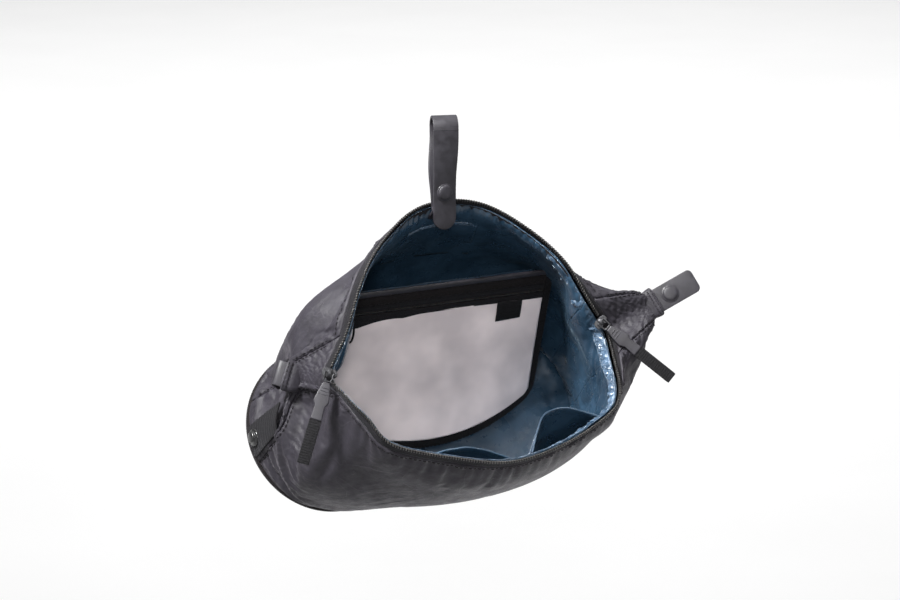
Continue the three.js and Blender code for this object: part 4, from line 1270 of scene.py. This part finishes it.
def make_tab(side, place, path, cap, socket):
    """An ear's keeper, with its strap along path and the two halves of the snap on it."""
    tab = side + "_tab"
    sleeve = keeper_shape(KEEPER_RINGS)
    strap = strap_shape(path, TAB_HALF, TAB_CORNER, STRAP_THICKNESS, [0, 1, 0])
    make(side + "_keeper_sleeve", sleeve, "shell_fabric", replaces=[side + "_keeper"], to_row=place)
    make(side + "_keeper_stitching", keeper_stitches(), "thread", to_row=place)
    make(tab + "_rubber", strap, "rubber_strap", tab, [tab + "_strap"], place)
    make(tab + "_cap_dome", cap_shape(), "rubber_strap", tab, [tab + "_cap"], cap)
    make(tab + "_snap", socket_shape(5, 1.8), "snap_metal", tab, [tab + "_socket"], socket)


def make_right_tab():
    place = local_frame([167, 9, -0.7], [0.855, -0.434, 0.282], [-0.156, 0, 0.988])
    path = [(x, 0, 0) for x in (3.6, 15, 28, 41)]
    up = moved_frame(place, [TAB_CAP_PLACE, 0, HALF_STRAP])
    down = moved_frame(place, [TAB_CAP_PLACE, 0, -HALF_STRAP], [1, -1, -1])
    make_tab("right", place, path, up, down)


def make_left_tab():
    """The left ear is folded back, so its tab turns the corner and points away behind it."""
    place = local_frame([-138.6, 60.5, -6.3], [-0.815, 0.308, 0.491], [0.22, 0, -0.975])
    corner, turn, radius = 9.0, math.radians(100), 3.0
    bends = []
    for t in (turn / 2, turn):
        bends.append(np.array([corner + radius * math.sin(t), 0, -radius * (1 - math.cos(t))]))
    along = np.array([math.cos(turn), 0, -math.sin(turn)])
    path = [(2.5, 0, 0), (corner, 0, 0), bends[0]] + [bends[1] + d * along for d in (0, 4, 12, 28)]
    outward = np.array([math.sin(turn), 0, math.cos(turn)])
    middle = bends[1] + 15 * along
    cap = facing_frame(middle + outward * HALF_STRAP, outward, place)
    socket = facing_frame(middle - outward * HALF_STRAP, -outward, place)
    make_tab("left", place, path, cap, socket)


# ---- the bands across the ends ----

def make_end_band(side, first, last):
    stations = np.linspace(first, last, 40)
    levels = np.linspace(2.05, 2.93, 60)
    grid = loft(SHELL_RINGS, stations % COUNT, levels)
    facing = normals(grid)
    ribs = 0.12 * np.cos(np.linspace(0, 24 * math.pi, 60))[:, None]
    arch = 0.8 * np.sin(np.linspace(0, math.pi, 60))[:, None]
    band = grid + facing * (3.0 + ribs + arch)[..., None]
    dress(sheet_piece(side + "_band_webbing", band, 1.6), "black_webbing", replaces=[side + "_end_band"])
    row, col = int(0.82 * 59), 20
    profile = [(7, 0), (7, 0.9), (6.5, 1.4), (4.9, 1.5), (4.6, 1.9),
               (4.6, 3.2), (4.3, 3.8), (3.4, 4.2), (0.05, 4.25)]
    place = facing_frame(band[row, col] + facing[row, col] * 0.1, facing[row, col], bag_to_row)
    make(side + "_band_snap", lathe(profile), "snap_metal", replaces=[side + "_band_stud"], to_row=place)


# ---- the zipped divider pocket ----

POCKET_TOP = (42.6, 48.0)
POCKET_HANG = (0.73, -0.68)
POCKET_HALF_WIDTH, POCKET_HEIGHT, POCKET_EDGE, POCKET_DEPTH = 98.5, 112.0, 7.0, 12.5
POCKET_ZIP_END, POCKET_DROP, POCKET_BELLY = 26.0, 21.0, 22.0
POCKET_ZIP = 19.3
POCKET_PLACE = local_frame([0, *POCKET_TOP], [-1, 0, 0], [0, *POCKET_HANG])


def pocket_point(x, y, z):
    """Under its zip the pocket is baggy: it sags down and forward in the middle."""
    x, y, z = np.broadcast_arrays(np.asarray(x, float), np.asarray(y, float), np.asarray(z, float))
    fullness = 1 - (x / (POCKET_HALF_WIDTH + POCKET_EDGE)) ** 2
    down = np.maximum(0, (y - POCKET_ZIP_END) / (POCKET_HEIGHT - POCKET_ZIP_END))
    return np.stack([x, y + POCKET_DROP * fullness * down, z + POCKET_BELLY * fullness * down**1.5], -1)


def pocket_strip(y0, y1, thickness, z=0.0, waves=0.5, seed=1, sag=0.0):
    """A soft strip right across the pocket, up to `sag` wider towards its slider."""
    w = POCKET_HALF_WIDTH
    x = np.linspace(w, -w, 120)
    share = np.clip((x / w - 0.1) / 0.5, 0, 1)
    widths = y1 - y0 + sag * share * share * (3 - 2 * share)
    path = np.stack([x, y0 + widths / 2, np.full(120, z)], -1)
    path[:, 2] += wander(path, 45, waves, seed)
    sections = np.array([rounded_section(width, thickness, thickness * 0.45, 4) for width in widths])
    return sweep(path, sections, [0, 1, 0])


def make_pocket_front():
    w = POCKET_HALF_WIDTH
    x, y = np.meshgrid(np.linspace(w, -w, 110), np.linspace(POCKET_ZIP_END - 1, POCKET_HEIGHT + 1.5, 70))
    grid = pocket_point(x, y, 0.4)
    soft = np.sin(math.pi * np.linspace(0, 1, 70))[:, None] * np.sin(math.pi * np.linspace(0, 1, 110))[None]
    grid[..., 2] += wander(grid, 38, 2.2, 41) * soft
    window = sheet_piece("pocket_window_film", grid, 0.5, to_row=POCKET_PLACE)
    dress(window, "clear_window", replaces=["pocket_window"])
    declare(grid)


def make_pocket_binding():
    w, h, half = POCKET_HALF_WIDTH, POCKET_HEIGHT, (POCKET_EDGE - 0.3) / 2
    out = half + 0.3
    corner = 9.0
    flat = [(-w - out, POCKET_EDGE), (-w - out, h + out - corner)]
    for k in range(1, 8):
        turn = math.pi / 2 * k / 8
        flat.append((-w - out + corner * (1 - math.cos(turn)), h + out - corner * (1 - math.sin(turn))))
    flat.append((-w - out + corner, h + out))
    flat = np.array(flat)
    flat = np.concatenate([flat, flat[::-1] * [-1, 1]])
    fine = spaced(np.column_stack([flat, np.zeros(len(flat))]), 0.8)
    along = unit(np.gradient(fine, axis=0))
    side = np.stack([along[:, 1], -along[:, 0], 0 * along[:, 0]], -1)
    path = pocket_point(fine[:, 0], fine[:, 1], 0)
    beside = pocket_point(fine[:, 0] + side[:, 0] * 0.1, fine[:, 1] + side[:, 1] * 0.1, 0)
    ribs = 0.12 * np.cos(np.arange(len(fine)) * 2 * math.pi / 3)
    sections = np.array([rounded_section(2 * half, 2.0 + r, 0.8, 3) for r in ribs])
    make("pocket_binding_tape", sweep(path, sections, beside - path), "black_webbing",
         replaces=["pocket_binding"], to_row=POCKET_PLACE)
    rows = []
    for aside in (2.2, -2.2):
        row = pocket_point(fine[:, 0] + side[:, 0] * aside, fine[:, 1] + side[:, 1] * aside, 1.1)
        rows.append(stitches(row, [0, 0, 1], 2.4, 1.2, 0.25))
    make("pocket_binding_stitching", joined(rows), "thread", to_row=POCKET_PLACE)


def make_pocket_bands():
    """The hem and the two zip tapes across the pocket's top, with the coil between the tapes."""
    w, put = POCKET_HALF_WIDTH, POCKET_PLACE
    hem = pocket_strip(3, 13, 1.8, 0, 0.3)
    make("pocket_hem", hem, "binding_tape", replaces=["pocket_top_hem"], to_row=put)
    # The hem's rolled top edge takes the lighter rubber tone: partly its own dark grey, partly a painted
    # highlight along its top.
    make("pocket_hem_roll", pocket_strip(-0.4, 4.4, 3.2, 0.4, 0.3), "rubber_strap", to_row=put)
    piping = spaced([(w, 21.0, 0.7), (-w, 21.0, 0.7)], 3)
    piping = sweep(piping, circle_section(0.45, 6), [0, 1, 0])
    make("pocket_tape_edge", piping, "binding_tape", to_row=put)
    rows = []
    for y in (5.2, 11.8, 24.4):
        rows.append(stitches([(w, y, 1.2), (-w, y, 1.2)], [0, 0, 1], 2.6, 1.4, 0.25))
    make("pocket_hem_stitching", joined(rows), "thread", to_row=put)
    upper = pocket_strip(13.1, 18.2, 1.1, 0, 0.2)
    lower = pocket_strip(20.4, 26.4, 1.4, 0.3, 0.2, sag=6)
    make("pocket_tape_top", upper, "zip_tape", replaces=["pocket_tape_upper"], to_row=put)
    make("pocket_tape_under", lower, "zip_tape", replaces=["pocket_tape_lower"], to_row=put)
    coil = helix([(w, POCKET_ZIP, 0.2), (-w, POCKET_ZIP, 0.2)], [0, 0, 1], 0.85, 0.33, 1.4)
    make("pocket_zip_coil", coil, "zip_coil", replaces=["pocket_coil"], to_row=put)


def make_divider_pocket():
    w, put = POCKET_HALF_WIDTH, POCKET_PLACE
    make_pocket_bands()
    make_pocket_front()
    make_pocket_binding()
    x, y = np.meshgrid(np.linspace(w - 5, 5 - w, 60), np.linspace(6, POCKET_HEIGHT - 7, 40))
    sway = wander(np.stack([x, y, 0 * x], -1), 20, 1.2, 43)
    back = np.stack([x, y, sway - POCKET_DEPTH], -1)
    piece = sheet_piece("pocket_back_cloth", back, 0.5, to_row=put)
    dress(piece, "lining_fabric", replaces=["pocket_back"])
    declare(back)
    x, y = np.meshgrid(np.linspace(-55.5, -78.5, 16), np.linspace(24.5, 39.5, 12))
    tab = pocket_point(x, y, 1.9)
    tab[..., 2] += 0.5 * np.sin(np.linspace(0, math.pi, 12))[:, None]
    label = sheet_piece("pocket_tab", tab, 0.6, to_row=put)
    dress(label, "black_webbing", replaces=["pocket_label"])
    declare(tab)
    edge = [(-56.5, 28), (-56.5, 38.5), (-77.5, 38.5), (-77.5, 28)]
    path = spaced(np.array([pocket_point(a, b, 2.5) for a, b in edge]), 1.0)
    make("pocket_tab_stitching", stitches(path, [0, 0, 1], 1.6, 0.9, 0.2), "thread", to_row=put)
    slider_x = w - 20
    on_zip = moved_frame(put, [slider_x, POCKET_ZIP, 0])
    make("pocket_zip_slider_body", slider_shape(0.9, 2.9, 4.0, 0.72), "slider_metal", "pocket_zip_slider",
         ["pocket_slider"], on_zip)
    drop = [(0, 0.6), (2.0, 4), (3.1, 10), (3.2, 16), (2.0, 20.4),
            (0, 21.6), (-2.0, 20.4), (-3.2, 16), (-3.1, 10), (-2.0, 4)]
    loop = catmull(np.array([(a, b, 0) for a, b in drop]), np.linspace(0, 10, 81)[:-1], closed=True)
    cord = sweep(loop, circle_section(0.85, 8), [0, 0, 1], closed=True)
    hanging = moved_frame(put, [slider_x, 20, 5.2])
    make("pocket_zip_cord", cord, "black_webbing", "pocket_zip_pull", ["pocket_pull"], hanging)


# ---- slip pockets and the facing that the hang strap is sewn behind ----

def make_slip_pocket(side, first, last, gape, seed):
    near, far = 0.28, 1.9
    grid = []
    for v in np.linspace(0, 1, 26):
        row = []
        for u in np.linspace(0, 1, 50):
            distance = 3.4 + gape * math.sin(math.pi * u) * (1 - v) ** 1.3
            row.append(lining_point(first + u * (last - first), near + v * (far - near), distance))
        grid.append(row)
    grid = np.array(grid)
    facing = normals(grid)
    spread = np.sin(math.pi * np.linspace(0, 1, 50))[None]
    grid = grid + facing * (wander(grid, 14, 1.2, seed) * spread)[..., None]
    piece = sheet_piece("slip_pocket_%s_cloth" % side, grid, 0.5)
    dress(piece, "lining_fabric", replaces=["slip_pocket_" + side])
    declare(grid)
    hem = sweep(grid[0], rounded_section(5.5, 1.7, 0.8, 3), grid[3] - grid[0])
    make("slip_pocket_%s_hem" % side, hem, "lining_fabric")
    row = stitches(grid[1] + facing[1] * 0.9, facing[1], 2.0, 1.1, 0.25)
    make("slip_pocket_%s_stitching" % side, row, "lining_facing")


def make_strap_facing():
    grid = []
    for v in np.linspace(0, 1, 20):
        row = [lining_point(COUNT - 0.85 + 1.75 * u, 0.75 + v, 5.4) for u in np.linspace(0, 1, 40)]
        grid.append(row)
    grid = np.array(grid)
    facing = normals(grid)
    grid = grid + facing * wander(grid, 15, 0.8, 61)[..., None]
    piece = dress(sheet_piece("strap_facing_cloth", grid, 0.5), "lining_fabric", replaces=["strap_facing"])
    declare(grid)
    hem = sweep(grid[0], rounded_section(3.6, 1.4, 0.6, 3), grid[2] - grid[0])
    make("strap_facing_hem", hem, "lining_facing")


# ---- the hang strap, in the row's own frame ----

SNAP_HEIGHT = -58.0
FLAP_END = -88.0
RAIL_TURN, STRAP_LEAN = math.radians(-18), -3.2
TWIST_FROM, TWIST_TO = -14.0, -50.0
FLAP_PATH = [(0, -9.1, -8.0), (0, -8.9, -16), (0, -7.4, -36), (0, -6.9, TWIST_TO),
             (0, -6.6, SNAP_HEIGHT), (0, -6.8, -74), (0, -7.2, FLAP_END)]


def hung(points):
    """The strap twists between the rail and its snap, and leans; from mm to the row frame."""
    points = np.asarray(points, float)
    share = np.clip((points[..., 2] - TWIST_TO) / (TWIST_FROM - TWIST_TO), 0, 1)
    share = share * share * (3 - 2 * share)
    c, s = np.cos(RAIL_TURN * share), np.sin(RAIL_TURN * share)
    x = points[..., 0] * c - points[..., 1] * s + STRAP_LEAN * (1 - share)
    return np.stack([x, points[..., 0] * s + points[..., 1] * c, points[..., 2]], -1) * MM


def strap_path():
    """Its centre line as (y, z): from behind the facing up to the rail, and over it."""
    inside = [bag_to_row(lining_point(0.0, level, 3.8)) / MM for level in (1.25, 0.95, 0.65)]
    path = [(p[1], p[2]) for p in inside]
    path += [(-3.6, -74), (-3.6, -69), (-2.1, SNAP_HEIGHT), (-0.3, TWIST_TO), (3.4, -34), (8.2, -16)]
    radius = RAIL_RADIUS + STRAP_THICKNESS / 2
    for turn in np.linspace(0, math.pi, 9):
        path.append((radius * math.cos(turn), -RAIL_RADIUS + radius * math.sin(turn)))
    return [(0, y, z) for y, z in path]


def make_hang_strap():
    half = STRAP_WIDTH / 2
    section = rounded_section(2 * half, STRAP_THICKNESS, 0.6, 3)
    fixed = sweep(smooth_path(strap_path(), 8), section, [1, 0, 0])
    make("hang_strap_rubber", fixed, "rubber_strap", replaces=["hang_strap"], to_row=hung)
    flap = strap_shape(FLAP_PATH, half, half - 0.2, STRAP_THICKNESS, [1, 0, 0])
    piece = make("hang_strap_flap_rubber", flap, "rubber_strap", None, ["hang_strap_flap"], hung)
    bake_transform(piece)
    make_hang_snap()


def make_hang_snap():
    """The flap's cap and socket, and the stud and its rivet on the strand behind."""
    flap = "strap_flap"
    stud = lathe([(4.5, 0), (4.5, 0.3), (1.9, 0.5), (1.7, 1.2), (0.05, 1.5)])
    rivet = lathe([(4.5, 0), (4.5, 0.5), (4.0, 0.9), (0.05, 1.0)])
    # name, shape, look, body, node that it stands for, y of its base, way it faces along y
    pieces = [
        ("hang_cap_dome", cap_shape(), "rubber_strap", flap, "hang_snap_cap", -7.8, -1),
        ("hang_snap_ring", socket_shape(5, 1.3), "snap_metal", flap, "hang_snap_socket", -5.5, 1),
        ("hang_snap_post", stud, "snap_metal", "bag", "hang_snap_stud", -3.2, -1),
        ("hang_snap_back", rivet, "snap_metal", "bag", "hang_snap_rivet", -1.0, 1),
    ]
    for name, shape, look, body, node, y, way in pieces:
        make(name, shape, look, body, [node], facing_frame([0, y, SNAP_HEIGHT], [0, way, 0], hung))


# ---- making ----

make_camera()
make_stage()
make_shell()
make_shell_stitching()
make_lining()
make_base()
make_zip()
make_zip_end("right", RIGHT_SLIDER, (43, -12, -56))
make_zip_end("left", LEFT_SLIDER, (-29, 15, -58))
make_right_tab()
make_left_tab()
make_end_band("left", 14.1, 15.1)
make_end_band("right", 4.9, 5.9)
make_divider_pocket()
make_slip_pocket("left", 11.2, 9.9, 9, 51)
make_slip_pocket("right", 9.5, 8.1, 24, 52)
make_strap_facing()
make_hang_strap()
